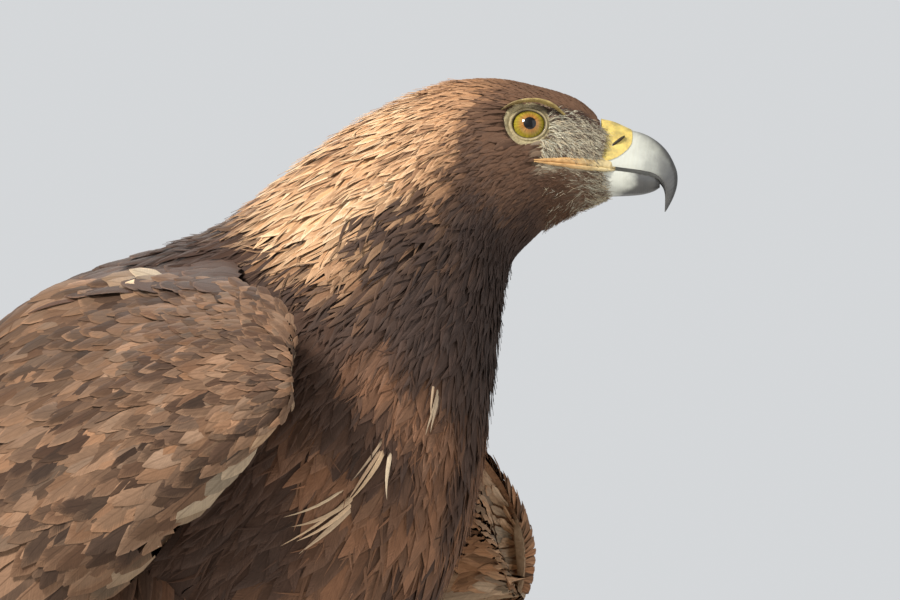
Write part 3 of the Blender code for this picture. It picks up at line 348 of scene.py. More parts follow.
class EagleStage(bpy.types.PropertyGroup):
    """The camera, the lights and the floor."""

    target: FloatVectorProperty(
        name="Target", description="Point that the camera looks at", size=3, subtype="TRANSLATION",
        default=(0.21864, 0.01643, 0.45873), precision=4,
    )
    distance: length("Distance", "From the camera to the point it looks at", 1.9)
    azimuth: FloatProperty(name="Azimuth", description="Turn round the bird", subtype="ANGLE",
                           default=math.radians(28.0))
    elevation: FloatProperty(name="Elevation", description="Angle above the horizon", subtype="ANGLE",
                             default=math.radians(-12.0))
    lens: FloatProperty(name="Lens", description="Focal length in millimetres", default=152.0)
    key: FloatProperty(name="Key light", description="Power of the main light", default=82.0, unit="POWER")
    fill: FloatProperty(name="Fill light", description="Power of the soft light", default=12.0, unit="POWER")
    rim: FloatProperty(name="Rim light", description="Power of the light behind", default=14.0, unit="POWER")
    floor: colour("Floor", "Floor of the stage", (0.80, 0.79, 0.77))
    sky: colour("Surround", "Light all round", (0.78, 0.80, 0.82))


# Curves and surfaces

def smooth_path(knots, values, at):
    """Values of a smooth curve through the knots, read at each place in at."""
    knots = np.asarray(knots, float)
    values = np.asarray(values, float)
    slopes = np.gradient(values, knots, axis=0)
    at = np.clip(np.asarray(at, float), knots[0], knots[-1])
    i = np.clip(np.searchsorted(knots, at, side="right") - 1, 0, len(knots) - 2)
    span = knots[i + 1] - knots[i]
    t = (at - knots[i]) / span
    tail = (1,) * (values.ndim - 1)
    span = span.reshape(span.shape + tail)
    t = t.reshape(t.shape + tail)
    return (
        (2 * t**3 - 3 * t**2 + 1) * values[i]
        + (t**3 - 2 * t**2 + t) * span * slopes[i]
        + (3 * t**2 - 2 * t**3) * values[i + 1]
        + (t**3 - t**2) * span * slopes[i + 1]
    )


def unit(v):
    return v / np.maximum(np.linalg.norm(v, axis=-1, keepdims=True), 1e-12)


def fade(value, low, high):
    """Zero below low, one above high, and smooth between."""
    t = np.clip((value - low) / (high - low), 0, 1)
    return t * t * (3 - 2 * t)


def blend_colour(first, second, amount):
    return first + (second - first) * np.asarray(amount)[..., None]


def head_axes():
    ahead = np.array([math.cos(HEAD_TURN), math.sin(HEAD_TURN), 0.0])
    side = np.array([-math.sin(HEAD_TURN), math.cos(HEAD_TURN), 0.0])
    return ahead, side, UP


def raw_head_point(forward, out, height):
    ahead, side, up = head_axes()
    forward, out, height = (np.asarray(v, float)[..., None] for v in (forward, out, height))
    return (np.array([NECK_X, 0.0, 0.0]) + ahead * forward + side * out + up * height) * MM


def frame_shift():
    """How far the frame moved the bird so that its box stands over the origin."""
    low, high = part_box("eye_right")
    return np.array((low + high) / 2) - raw_head_point(EYE_FORWARD, -EYE_OUT, EYE_HEIGHT)


SHIFT = frame_shift()


def head_point(forward, out, height):
    """A place on the turned head: forward of the neck line, out to the left, and up, in millimetres."""
    return raw_head_point(forward, out, height) + SHIFT


def head_place(p):
    """Forward, out and height of points, in millimetres on the turned head."""
    ahead, side, up = head_axes()
    raw = (p - SHIFT) / MM - np.array([NECK_X, 0.0, 0.0])
    return raw @ ahead, raw @ side, raw @ up


def body_section(u):
    """Middle, side axis, back axis and belly axis of the body's sections at u."""
    table = np.array([[*back, *belly, w, f, turn] for back, belly, w, f, turn in BODY], float)
    row = smooth_path(np.arange(len(BODY)), table, u)
    turn = np.radians(row[..., 6])
    ahead = np.stack([np.cos(turn), np.sin(turn), np.zeros_like(turn)], -1)
    side = np.stack([-np.sin(turn), np.cos(turn), np.zeros_like(turn)], -1)
    pivot = np.array([NECK_X, 0.0, 0.0])
    back = pivot + ahead * row[..., 0:1] + UP * row[..., 1:2]
    belly = pivot + ahead * row[..., 2:3] + UP * row[..., 3:4]
    middle = belly + (back - belly) * row[..., 5:6]
    return middle * MM + SHIFT, side * row[..., 4:5] * MM, (back - middle) * MM, (belly - middle) * MM


def body_point(u, angle):
    """A point of the body's outline. The angle runs from the back, round by the bird's left."""
    u, angle = np.broadcast_arrays(np.asarray(u, float), np.asarray(angle, float))
    if u.size and u.min() < 0:
        root, next_to = body_point(np.zeros_like(u), angle), body_point(np.full_like(u, 0.05), angle)
        ahead = np.minimum(u, 0)[..., None] * (next_to - root) / 0.05
        return np.where(u[..., None] < 0, root + ahead, body_point(np.maximum(u, 0), angle))
    middle, side, back, belly = body_section(u)
    c, s = np.cos(angle)[..., None], np.sin(angle)[..., None]
    peak = smooth_path((4, 9, 16), (1.0, BACK_PEAK, BACK_PEAK), np.clip(u, 4, 16))[..., None]
    return middle + side * s + np.where(c > 0, back * np.abs(c) ** peak, -belly * c)


def wing_surface(side):
    """The outer face of one folded wing: s runs from wrist to tip, t from lower to upper edge."""
    mirror = np.array([1.0, float(side), 1.0])
    table = np.array([[*low, *mid, *up] for _, low, mid, up in WING], float)
    knots = [line[0] for line in WING]
    forward, rise, low_edge = WING_SHIFT[side]

    def point(s, t):
        s, t = np.broadcast_arrays(np.asarray(s, float), np.asarray(t, float))
        row = smooth_path(knots, table, s)
        w = t[..., None]
        p = row[..., 0:3] * (1 - w) * (1 - 2 * w) + row[..., 3:6] * 4 * w * (1 - w) + row[..., 6:9] * w * (2 * w - 1)
        p = p * mirror
        near = (1 - np.clip(s, 0, 1)) ** SHIFT_FADE
        p[..., 0] += forward * near
        p[..., 2] += (rise + low_edge * (1 - np.clip(t, 0, 1)) ** 2) * near
        return p * MM + SHIFT

    return point


def tube_surface(path, across, upright, sideways=None, knots=None):
    """The skin of a tube along a path: f runs along it, and the angle from its side towards its top."""
    path = np.asarray(path, float)
    knots = np.linspace(0, 1, len(path)) if knots is None else np.asarray(knots, float)
    table = np.column_stack([path, across, upright])
    if sideways is None:
        sideways = np.cross(UP, path[-1] - path[0])
    sideways = np.asarray(sideways, float)

    def point(f, angle):
        f, angle = np.broadcast_arrays(np.asarray(f, float), np.asarray(angle, float))
        row = smooth_path(knots, table, f)
        ahead = smooth_path(knots, table, f + 0.01)[..., :3]
        behind = smooth_path(knots, table, f - 0.01)[..., :3]
        along = unit(ahead - behind)
        side = unit(sideways - along * (along @ sideways)[..., None])
        top = unit(np.cross(along, side))
        c, s = np.cos(angle)[..., None], np.sin(angle)[..., None]
        return (row[..., :3] + side * c * row[..., 3:4] + top * s * row[..., 4:5]) * MM + SHIFT

    return point


def tail_surface():
    """The tail's upper face: f from the rump to the tip, and a from its right edge to its left."""
    table = np.array([[*place, width] for place, width in TAIL], float)
    knots = np.linspace(0, 1, len(table))

    def point(f, a):
        f, a = np.broadcast_arrays(np.asarray(f, float), np.asarray(a, float))
        row = smooth_path(knots, table, f)
        return np.stack([row[..., 0], a * row[..., 3], row[..., 2] - TAIL_ARCH * a**2], -1) * MM + SHIFT

    return point


def wing_lining(side):
    """The hidden face of a folded wing, which bulges towards the body from the same two edges."""
    outer = wing_surface(side)

    def point(s, t):
        s, t = np.broadcast_arrays(np.asarray(s, float), np.asarray(t, float))
        step = 1e-3
        t = np.clip(t, 0.002, 0.998)
        ps = outer(s + step, t) - outer(s - step, t)
        pt = outer(s, t + step) - outer(s, t - step)
        normal = unit(np.cross(ps, pt)) * side
        depth = LINING_EDGE + smooth_path(*LINING_DEPTH, s) * np.sin(math.pi * t) ** 0.7
        return outer(s, t) - normal * (depth * MM)[..., None]

    return point


def mantle_surface():
    """The feathered roof over the back: a runs down it, and m from the right wing to the left."""
    knots = np.linspace(0, 1, len(MANTLE))
    places = [line[0] for line in MANTLE]
    ridge = [line[1] for line in MANTLE]
    wings = {side: wing_surface(side) for side, _ in SIDES}

    def point(a, m):
        a, m = np.broadcast_arrays(np.asarray(a, float), np.asarray(m, float))
        s = smooth_path(knots, places, a)
        middle = smooth_path(knots, ridge, a) * MM + SHIFT
        left, right = (wings[side](s, np.full_like(s, MANTLE_EDGE)) for side in (1, -1))
        edge = np.where(m[..., None] > 0, left, right)
        reach = np.abs(m)[..., None] ** 1.6
        return middle * (1 - reach) + edge * reach

    return point


class Ground:
    """A surface that feathers grow from, which way it faces, and its patch of the flat map."""

    def __init__(self, point, outward, reach, across, patch):
        self.point = point
        self.outward = outward
        self.reach = reach
        self.across = across
        self.patch = patch

    def frame(self, a, b):
        """Point, two tangents per unit of a and b, and the outward normal."""
        step = 1e-3
        pa = (self.point(a + step, b) - self.point(a - step, b)) / (2 * step)
        pb = (self.point(a, b + step) - self.point(a, b - step)) / (2 * step)
        return self.point(a, b), pa, pb, unit(np.cross(pa, pb)) * self.outward

    def flat(self, a, b):
        """The place of (a, b) on the unwrap that all pieces share."""
        low, high = self.across
        if high - low > 6:
            b = (b - low) % (high - low) + low
        x0, y0, x1, y1 = self.patch
        x = x0 + (x1 - x0) * np.clip((a - self.reach[0]) / (self.reach[1] - self.reach[0]), 0, 1)
        y = y0 + (y1 - y0) * np.clip((b - low) / (high - low), 0, 1)
        return np.stack([x, y], -1)


def make_grounds():
    """Every surface of the bird, each with its own patch of the flat map."""
    turn = (-math.pi, math.pi)
    grounds = {"body": Ground(body_point, -1.0, (-0.6, 16.5), turn, (0.02, 0.02, 0.70, 0.46))}
    grounds["mantle"] = Ground(mantle_surface(), -1.0, (0, 1), (-1, 1), (0.02, 0.48, 0.70, 0.60))
    core = np.array([[*place, w, h] for place, w, h in TAIL_CORE], float)
    skin = tube_surface(core[:, :3], core[:, 3], core[:, 4], ACROSS)
    grounds["tail_skin"] = Ground(skin, -1.0, (0, 1), turn, (0.72, 0.02, 0.98, 0.18))
    grounds["tail"] = Ground(tail_surface(), -1.0, (0, 1), (-1.2, 1.2), (0.72, 0.20, 0.98, 0.34))
    for side, name in SIDES:
        low = 0.62 if side > 0 else 0.80
        grounds["wing_" + name] = Ground(
            wing_surface(side), float(side), (0, 1), (0, 1), (0.02, low, 0.44, low + 0.16))
        grounds["lining_" + name] = Ground(
            wing_lining(side), -float(side), (0, 1), (0, 1), (0.46, low, 0.70, low + 0.16))
        path = [(x, side * y, z) for x, y, z in LEG]
        leg = tube_surface(path, [r[0] for r in LEG_RADII], [r[1] for r in LEG_RADII], ACROSS)
        path = [(x, side * y, z) for x, y, z in TARSUS]
        shank = tube_surface(path, [r[0] for r in TARSUS_RADII], [r[1] for r in TARSUS_RADII], ACROSS)
        low = 0.36 if side > 0 else 0.68
        grounds["leg_" + name] = Ground(leg, -1.0, (0, 1), turn, (0.72, low, 0.98, low + 0.18))
        grounds["tarsus_" + name] = Ground(shank, -1.0, (0, 1), turn, (0.72, low + 0.19, 0.98, low + 0.30))
    return grounds


GROUNDS = make_grounds()


def surface_step(pa, pb, move):
    """The change of both coordinates that follows a move along the surface."""
    aa, ab, bb = (pa * pa).sum(-1), (pa * pb).sum(-1), (pb * pb).sum(-1)
    ma, mb = (move * pa).sum(-1), (move * pb).sum(-1)
    scale = np.maximum(aa * bb - ab**2, 1e-18)
    return np.stack([(ma * bb - mb * ab) / scale, (mb * aa - ma * ab) / scale], -1)


# Colours by place

class Paint:
    """The plumage colours as arrays, and the markings that skin and feathers share."""

    def __init__(self, colours):
        names = colours.bl_rna.properties.keys()
        for name in names:
            if name not in ("rna_type", "name"):
                setattr(self, name, np.array(getattr(colours, name)[:], float))

    def patches(self, u, angle, scale, start):
        """A slow wave of light and dark over the body, from zero to one."""
        rng = np.random.default_rng(start)
        total = np.zeros(np.shape(u))
        for _ in range(6):
            ku, ka, shift = rng.uniform(-1, 1), rng.uniform(-1, 1), rng.uniform(0, 7)
            total = total + np.sin(scale * (ku * u * 1.2 + ka * np.abs(angle) * 2.6) + shift)
        return np.clip(0.5 + total / 5, 0, 1)

    def body(self, u, angle, rng=None):
        """Colour, tip colour and tip strength of the feathers at a place on the body."""
        side = np.degrees(np.abs(angle))
        stray = rng.normal(0, 1, np.shape(u)) if rng is not None else np.zeros(np.shape(u))
        wave = self.patches(u, angle, 2.2, 9)
        edge = side + 9 * stray + 26 * (wave - 0.5)
        base = blend_colour(self.crown, self.cheek, fade(edge, 30, 80))
        base = blend_colour(base, self.throat, fade(edge, 98, 140) * fade(u, 1.2, 3.2))
        base = blend_colour(base, self.cheek * 0.5, fade(edge, 62, 75) * (1 - fade(edge, 80, 92)) * fade(u, 2.4, 2.8)
                            * (1 - fade(u, 2.9, 5.0)) * 0.5)
        pale = fade(side, 56, 66) * (1 - fade(side, 112, 122)) * (1 - fade(u, 1.9, 2.5))
        base = blend_colour(base, self.lore, pale)
        chin = fade(side, 116, 126) * (1 - fade(u, 0.5, 1.6))
        base = blend_colour(base, self.lore * 0.6, chin * (0.45 + 0.3 * stray).clip(0, 1))
        neck = blend_colour(self.cheek * 0.55, self.throat, fade(edge, 88, 125))
        base = blend_colour(base, neck, fade(u, 3.4, 5.6))
        lower = blend_colour(self.back, self.breast, fade(side, 70, 100))
        base = blend_colour(base, lower, fade(u, 7.4, 8.8))
        region = self.patches(u, angle, 3.4, 4)
        warm = fade(side, 100, 130) * fade(u, 7.6, 9.4) * (1 - 0.5 * fade(u, 11.5, 14.5))
        warm = warm * np.clip(0.80 * region + 0.02 + 0.14 * stray, 0, 1)
        base = blend_colour(base, self.rufous, fade(warm, 0.15, 0.75) * 0.85)
        limit = smooth_path((0, 2, 3, 4, 5, 6, 7, 8, 8.8, 17), (20, 30, 52, 66, 78, 86, 90, 88, 80, 60), u)
        gold = (1 - fade(edge, limit - 16, limit + 10)) * fade(u, 2.0, 4.6) * (1 - fade(u + 0.25 * stray, 7.9, 8.9))
        gold = gold * np.clip(0.86 + 0.20 * stray + 0.45 * (wave - 0.5), 0.25, 1)
        base = blend_colour(base, self.gold, gold)
        pale = gold * fade(u, 3.2, 5.6) * np.clip(0.7 + 0.6 * (wave - 0.5) + 0.25 * stray, 0, 1)
        base = blend_colour(base, self.cream * [1.0, 0.82, 0.62], 0.45 * pale)
        tip = blend_colour(base * 1.5 + 0.01, self.cream, pale)
        strength = 0.25 + 0.55 * gold + 0.15 * fade(u, 7.5, 9)
        return base, np.clip(tip, 0, 1), strength

    def wing(self, s, t, side, rng=None):
        """The same over a folded wing."""
        stray = rng.normal(0, 1, np.shape(s)) if rng is not None else np.zeros(np.shape(s))
        down = s + COVERT_SLANT * (0.5 - t) * fade(s, 0.02, 0.15)
        base = blend_colour(self.covert, self.covert * 0.72, fade(down, 0.08, 0.26))
        waves = np.sin(34 * s + 9 * t + 1.3) * np.sin(11 * t - 19 * s + 0.7) + 0.6 * np.sin(23 * t + 15 * s)
        tan = np.clip(0.42 + 0.30 * waves + 0.26 * stray - 0.25 * fade(down, 0.34, 0.5), 0, 1)
        base = blend_colour(base * 0.62, self.tawny * 0.85, tan)
        base = blend_colour(base, self.tawny * 0.8, 0.35 * (1 - fade(s, 0.0, 0.07)))
        base = blend_colour(base, self.flight, fade(down + 0.02 * stray, 0.44, 0.60))
        # Painted light: the left wing, the far one from the camera, gets a paler tawny shoulder than the right one,
        # where light falls on it.
        if side > 0:
            lit_far_shoulder = self.tawny * np.array([1.45, 1.25, 1.05])
            base = blend_colour(base, lit_far_shoulder, 0.75 * (1 - fade(s, 0.06, 0.25)) * np.clip(0.9 + 0.4 * stray, 0.1, 1))
        rim = np.maximum(1 - fade(s, 0.001, 0.010), (1 - fade(t, 0.012, 0.035)) * (1 - fade(s, 0.18, 0.34)))
        base = blend_colour(base, self.cream * 0.66, rim * np.clip(0.65 + 0.25 * stray, 0, 1))
        patch = np.exp(-(((s - 0.265) / 0.030) ** 2) - ((t - 0.985) / 0.045) ** 2)
        base = blend_colour(base, self.cream * 0.85, fade(patch, 0.35, 0.8) * np.clip(0.7 + 0.3 * stray, 0, 1))
        tip = blend_colour(self.tawny, self.flight * 1.8, fade(down, 0.45, 0.7))
        tip = np.maximum(tip * 0.9, base * 1.2)
        strength = np.clip(0.45 + 0.25 * stray, 0.1, 0.9) * (1 - 0.4 * fade(down, 0.35, 0.6))
        return base, tip, strength * np.ones(np.shape(s))

    def mantle(self, a, m, rng):
        """The same over the back between the wings."""
        stray = rng.normal(0, 1, np.shape(a))
        base = blend_colour(self.back * 1.15, self.covert * 0.8, np.clip(0.35 + 0.4 * stray, 0, 1) * (0.4 + 0.6 * a))
        return base, blend_colour(base * 2.1, self.tawny * 0.8, 0.35), np.clip(0.5 + 0.2 * stray, 0.1, 0.9)


def uneven(rng, colours, spread=0.16):
    """Each feather a little lighter or darker, and warmer or colder, than its place."""
    count = len(colours)
    tone = np.exp(rng.normal(0, spread, (count, 1)))
    warmth = 1 + rng.normal(0, spread * 0.25, (count, 1)) * np.array([[1.0, 0.0, -1.0]])
    return np.clip(colours * tone * warmth, 0.0, 0.95)


# Feathers

STEP_LIMIT = 0.5
SECTIONS = {
    4: ((-1, 0), (0, 1), (1, 0), (0, -1)),
    6: ((-1, 0), (-0.52, 0.8), (0, 1), (0.52, 0.8), (1, 0), (0, -1)),
}


class Feathers:
    """A list of closed vanes that becomes one mesh."""

    def __init__(self, seed):
        self.rng = np.random.default_rng(seed)
        self.points, self.corners, self.facing = [], [], []
        self.maps = {"Vane": [], "Share": [], "OFBake": []}
        self.tints = {"plume": [], "margin": []}
        self.total = 0

    def add(self, ground, path, half, lift, outline, paint, section=4, thick=0.3, camber=0.3, tilt=0.0,
            ragged=0.08, bow=0.0):
        """Adds one vane along each path of surface places. Sizes are millimetres."""
        count, rings = path.shape[:2]
        if not count:
            return
        rng = self.rng
        f = np.linspace(0, 1, rings) ** 0.9
        p, pa, pb, normal = ground.frame(path[..., 0], path[..., 1])
        along = unit(np.gradient(p, axis=1))
        side = unit(np.cross(normal, along))
        span = np.linalg.norm(np.diff(p, axis=1), axis=2).sum(1)
        step = surface_step(pa, pb, side)
        facing = np.sign((side * pb).sum(-1))
        shape = smooth_path(*zip(*outline), f)[None, :] * (half * MM)[:, None]
        sway = (np.broadcast_to(bow, (count,)) * MM)[:, None] * (4 * f * (1 - f))[None, :]
        rise = smooth_path((0, 0.4, 1), np.moveaxis(np.asarray(lift, float), -1, 0), f) * MM
        rise = np.broadcast_to(rise.T if rise.ndim > 1 else rise, (count, rings))
        verts, vane, part, shine = [], [], [], []
        for reach, height in SECTIONS[section]:
            width = shape * (1 + rng.normal(0, ragged, (count, rings)) * abs(reach))
            move = (reach * width + sway)[..., None]
            spot = path + np.clip(step * move, -STEP_LIMIT, STEP_LIMIT)
            goal = p + side * move
            for _ in range(2 if abs(reach) > 0.4 else 0):
                q, qa, qb, qn = ground.frame(spot[..., 0], spot[..., 1])
                left = goal - q
                left = left - qn * (left * qn).sum(-1, keepdims=True)
                spot = spot + np.clip(surface_step(qa, qb, left), -STEP_LIMIT, STEP_LIMIT)
            foot = ground.point(spot[..., 0], spot[..., 1])
            level = rise - tilt * facing * reach * width
            level = level + camber * MM * (1 - reach**2) * np.minimum(1, shape / (3 * MM))
            level = level + (0.5 * thick * MM if height > 0 else -0.5 * thick * MM if height < 0 else 0.0)
            verts.append(foot + normal * level[..., None])
            shine.append(unit(normal + side * (0.35 * reach) + along * 0.12) if height >= 0 else -normal)
            vane.append(np.stack([reach * width * 100, span[:, None] * 100 * f[None, :]], -1))
            part.append(np.stack(np.broadcast_arrays(reach * 0.5 + 0.5, f[None, :] * np.ones((count, 1))), -1))
        self.facing.append(np.stack(shine, 2).reshape(-1, 3))
        self.store(ground, path[:, 0], verts, vane, part, paint, rings, section)

    def store(self, ground, root, verts, vane, part, paint, rings, section):
        count = len(root)
        verts, vane, part = (np.stack(x, 2).reshape(count, rings * section, -1) for x in (verts, vane, part))
        quads = vane_quads(rings, section)
        corner = (quads.ravel()[None, :] + (np.arange(count) * rings * section)[:, None])
        flat = ground.flat(root[:, 0], root[:, 1])[:, None, :] + (part - 0.5) * 0.003
        base, tip, strength = paint
        self.points.append(verts.reshape(-1, 3))
        self.corners.append(corner.reshape(-1) + self.total)
        for name, values in (("Vane", vane), ("Share", part), ("OFBake", flat)):
            self.maps[name].append(values[:, quads.ravel()].reshape(-1, 2))
        plume = np.concatenate([base, strength[:, None]], 1)
        margin = np.concatenate([tip, self.rng.uniform(0, 1, (count, 1))], 1)
        for name, values in (("plume", plume), ("margin", margin)):
            self.tints[name].append(np.repeat(values, rings * section, axis=0))
        self.total += count * rings * section

    def build(self, name, look, replaced=(), soft=True):
        """The mesh of all the vanes. Soft ones are shaded by the way the surface under them faces."""
        mesh = bpy.data.meshes.new(name)
        points = np.concatenate(self.points)
        corners = np.concatenate(self.corners)
        faces = len(corners) // 4
        mesh.vertices.add(len(points))
        mesh.vertices.foreach_set("co", points.astype(np.float32).ravel())
        mesh.loops.add(len(corners))
        mesh.loops.foreach_set("vertex_index", corners.astype(np.int32))
        mesh.polygons.add(faces)
        mesh.polygons.foreach_set("loop_start", np.arange(faces, dtype=np.int32) * 4)
        mesh.update(calc_edges=True)
        for key in ("Share", "Vane", "OFBake"):
            layer = mesh.uv_layers.new(name=key, do_init=False)
            layer.uv.foreach_set("vector", np.concatenate(self.maps[key]).astype(np.float32).ravel())
        for key, values in self.tints.items():
            layer = mesh.attributes.new(key, "FLOAT_COLOR", "POINT")
            layer.data.foreach_set("color", np.concatenate(values).astype(np.float32).ravel())
        mesh.validate()
        mesh.shade_smooth()
        if soft:
            mesh.normals_split_custom_set_from_vertices(np.concatenate(self.facing).astype(np.float32))
        else:
            mesh.set_sharp_from_angle(angle=SHARP_ANGLE)
        return dress(name, mesh, look, replaced)


def vane_quads(rings, section):
    """The faces of one closed vane, facing out."""
    faces = []
    for i in range(rings - 1):
        for j in range(section):
            a, b = i * section + j, i * section + (j + 1) % section
            faces.append((a, a + section, b + section, b))
    last = (rings - 1) * section
    caps = ((0, 1, 2, 3),) if section == 4 else ((0, 1, 2, 5), (2, 3, 4, 5))
    for cap in caps:
        faces.append(cap)
        faces.append(tuple(last + j for j in reversed(cap)))
    return np.array(faces)


def scatter(ground, first, last, row_step, side_step, low, high, rng, wild=1.0):
    """Places in rows along a surface, each row set half a step over. Steps are millimetres at each a."""
    spots = []
    a, odd = first, 0
    ring = np.linspace(low, high, 97)
    while a < last:
        line = ground.point(np.full(len(ring), a), ring)
        reach = np.concatenate([[0], np.cumsum(np.linalg.norm(np.diff(line, axis=0), axis=1))])
        count = max(1, int(round(reach[-1] / (side_step(a) * MM))))
        shares = (np.arange(count) + 0.25 + 0.5 * odd + wild * rng.uniform(-0.25, 0.25, count)) / count
        b = np.interp(np.clip(shares, 0, 1) * reach[-1], reach, ring)
        ahead = ground.point(np.full(len(ring), a + 0.01), ring)
        pace = np.linalg.norm(ahead - line, axis=1).mean() / 0.01
        step = row_step(a) * MM / pace
        spots.append(np.stack([a + wild * rng.uniform(-0.3, 0.3, count) * step, b], -1))
        a += step
        odd = 1 - odd
    return np.concatenate(spots)


def lay(ground, root, length_mm, turn, rings, curl=0.0, last=None):
    """Paths of that length from the roots, at an angle to the surface's own lie and curling from it."""
    f = np.linspace(0, 1, rings) ** 0.9
    path = [root]
    for i in range(1, rings):
        place = path[-1]
        _, pa, pb, normal = ground.frame(place[:, 0], place[:, 1])
        along = unit(pa)
        side = np.cross(normal, along)
        angle = turn + curl * f[i]
        move = along * np.cos(angle)[:, None] + side * np.sin(angle)[:, None]
        step = surface_step(pa, pb, move * (length_mm * (f[i] - f[i - 1]) * MM)[:, None])
        place = place + np.clip(step, -STEP_LIMIT, STEP_LIMIT)
        if last is not None:
            place[:, 0] = np.minimum(place[:, 0], last)
        path.append(place)
    return np.stack(path, 1)


def straight(root, tip, rings):
    """Paths that are straight in the surface's own coordinates."""
    f = np.linspace(0, 1, rings) ** 0.9
    return root[:, None, :] + (tip - root)[:, None, :] * f[None, :, None]


def coat(u, column):
    """One column of the coat's table at sections u."""
    table = np.array(COAT)
    return smooth_path(table[:, 0], table[:, column], u)


# Meshes of single pieces

def dress(name, mesh, look, replaced=()):
    """Makes the object, gives it its material and body, and hides the solids it stands for."""
    made = bpy.data.objects.new(name, mesh)
    bpy.context.scene.collection.objects.link(made)
    mesh.materials.clear()
    mesh.materials.append(look)
    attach(made, BODY_NAME)
    if replaced:
        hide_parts(*replaced)
    return made


def lofted(point, flat=None, rows=24, around=24, closed=True, tint=None, map_name="OFBake"):
    """A bmesh grid laid on a surface, joined at its seam and filled at its ends."""
    work = bmesh.new()
    bmesh.ops.create_grid(work, x_segments=rows, y_segments=around, size=0.5)
    a = np.array([v.co.x + 0.5 for v in work.verts])
    b = np.array([v.co.y + 0.5 for v in work.verts])
    spots = point(a, b)
    if flat is not None:
        layer = work.loops.layers.uv.new(map_name)
        places = flat(a, b)
        work.verts.index_update()
        for face in work.faces:
            for loop in face.loops:
                loop[layer].uv = places[loop.vert.index]
    if tint is not None:
        layer = work.verts.layers.float_color.new("plume")
        for vert, value in zip(work.verts, tint(a, b)):
            vert[layer] = (*value, 1.0)
    for vert, spot in zip(work.verts, spots):
        vert.co = spot
    if closed:
        bmesh.ops.remove_doubles(work, verts=work.verts, dist=1e-6)
        edges = [e for e in work.edges if e.is_boundary]
        bmesh.ops.holes_fill(work, edges=edges, sides=0)
        caps = [f for f in work.faces if len(f.verts) > 4]
        bmesh.ops.triangulate(work, faces=caps)
    bmesh.ops.recalc_face_normals(work, faces=work.faces)
    return work


def to_mesh(work, name):
    if work.calc_volume(signed=True) < 0:
        bmesh.ops.reverse_faces(work, faces=work.faces)
    mesh = bpy.data.meshes.new(name)
    work.to_mesh(mesh)
    work.free()
    mesh.shade_smooth()
    mesh.set_sharp_from_angle(angle=SHARP_ANGLE)
    return mesh


def fuse(name, pieces, operation="UNION", base=None):
    """One closed mesh from several, by one Boolean on their collection."""
    group = bpy.data.collections.new("fuse")
    bpy.context.scene.collection.children.link(group)
    first = bpy.data.objects.new(name, base if base is not None else pieces[0])
    bpy.context.scene.collection.objects.link(first)
    others = pieces if base is not None else pieces[1:]
    for mesh in others:
        group.objects.link(bpy.data.objects.new("part", mesh))
    step = first.modifiers.new("join", "BOOLEAN")
    step.operation = operation
    step.operand_type = "COLLECTION"
    step.collection = group
    step.solver = "MANIFOLD"
    graph = bpy.context.evaluated_depsgraph_get()
    made = bpy.data.meshes.new_from_object(first.evaluated_get(graph))
    for other in list(group.objects):
        bpy.data.objects.remove(other)
    bpy.data.collections.remove(group)
    bpy.data.objects.remove(first)
    made.name = name
    made.shade_smooth()
    made.set_sharp_from_angle(angle=SHARP_ANGLE)
    return made


def joined(name, works):
    """Several closed shapes as one mesh."""
    total = bmesh.new()
    for work in works:
        if work.calc_volume(signed=True) < 0:
            bmesh.ops.reverse_faces(work, faces=work.faces)
        mesh = bpy.data.meshes.new("part")
        work.to_mesh(mesh)
        work.free()
        total.from_mesh(mesh)
        bpy.data.meshes.remove(mesh)
    mesh = bpy.data.meshes.new(name)
    total.to_mesh(mesh)
    total.free()
    mesh.shade_smooth()
    mesh.set_sharp_from_angle(angle=SHARP_ANGLE)
    return mesh


# Shader helpers

def wire(tree, kind, values=None, **settings):
    """Adds a node. Each value is a number or colour, or the socket that feeds that input."""
    node = tree.nodes.new(kind)
    for key, value in settings.items():
        setattr(node, key, value)
    for key, value in (values or {}).items():
        if isinstance(value, bpy.types.NodeSocket):
            tree.links.new(value, node.inputs[key])
        else:
            node.inputs[key].default_value = value
    return node


def maths(tree, operation, first, second=0.0):
    return wire(tree, "ShaderNodeMath", {0: first, 1: second}, operation=operation).outputs[0]


def plus(tree, first, second):
    return maths(tree, "ADD", first, second)


def minus(tree, first, second):
    return maths(tree, "SUBTRACT", first, second)


def times(tree, first, second):
    return maths(tree, "MULTIPLY", first, second)


def rescaled(tree, value, low, high, from_low=0.0, from_high=1.0):
    """A value moved in a straight line from one range to another."""
    values = {"Value": value, "From Min": from_low, "From Max": from_high, "To Min": low, "To Max": high}
    return wire(tree, "ShaderNodeMapRange", values).outputs[0]


def mask(tree, value, low, high):
    """Zero at low and one at high, smooth between."""
    node = wire(tree, "ShaderNodeMapRange", {"Value": value, "From Min": low, "From Max": high},
                interpolation_type="SMOOTHSTEP")
    return node.outputs["Result"]


def mix(tree, amount, first, second, blend="MIX"):
    node = tree.nodes.new("ShaderNodeMix")
    node.data_type = "RGBA"
    node.blend_type = blend
    for index, value in ((0, amount), (6, first), (7, second)):
        if isinstance(value, bpy.types.NodeSocket):
            tree.links.new(value, node.inputs[index])
        elif index == 0:
            node.inputs[index].default_value = value
        else:
            node.inputs[index].default_value = (*value[:3], 1.0)
    return node.outputs[2]


def noise(tree, vector, scale, detail=3.0, rough=0.55):
    values = {"Vector": vector, "Scale": scale, "Detail": detail, "Roughness": rough}
    return wire(tree, "ShaderNodeTexNoise", values).outputs["Fac"]


def stretched(tree, vector, scale):
    return wire(tree, "ShaderNodeMapping", {"Vector": vector, "Scale": scale}).outputs["Vector"]


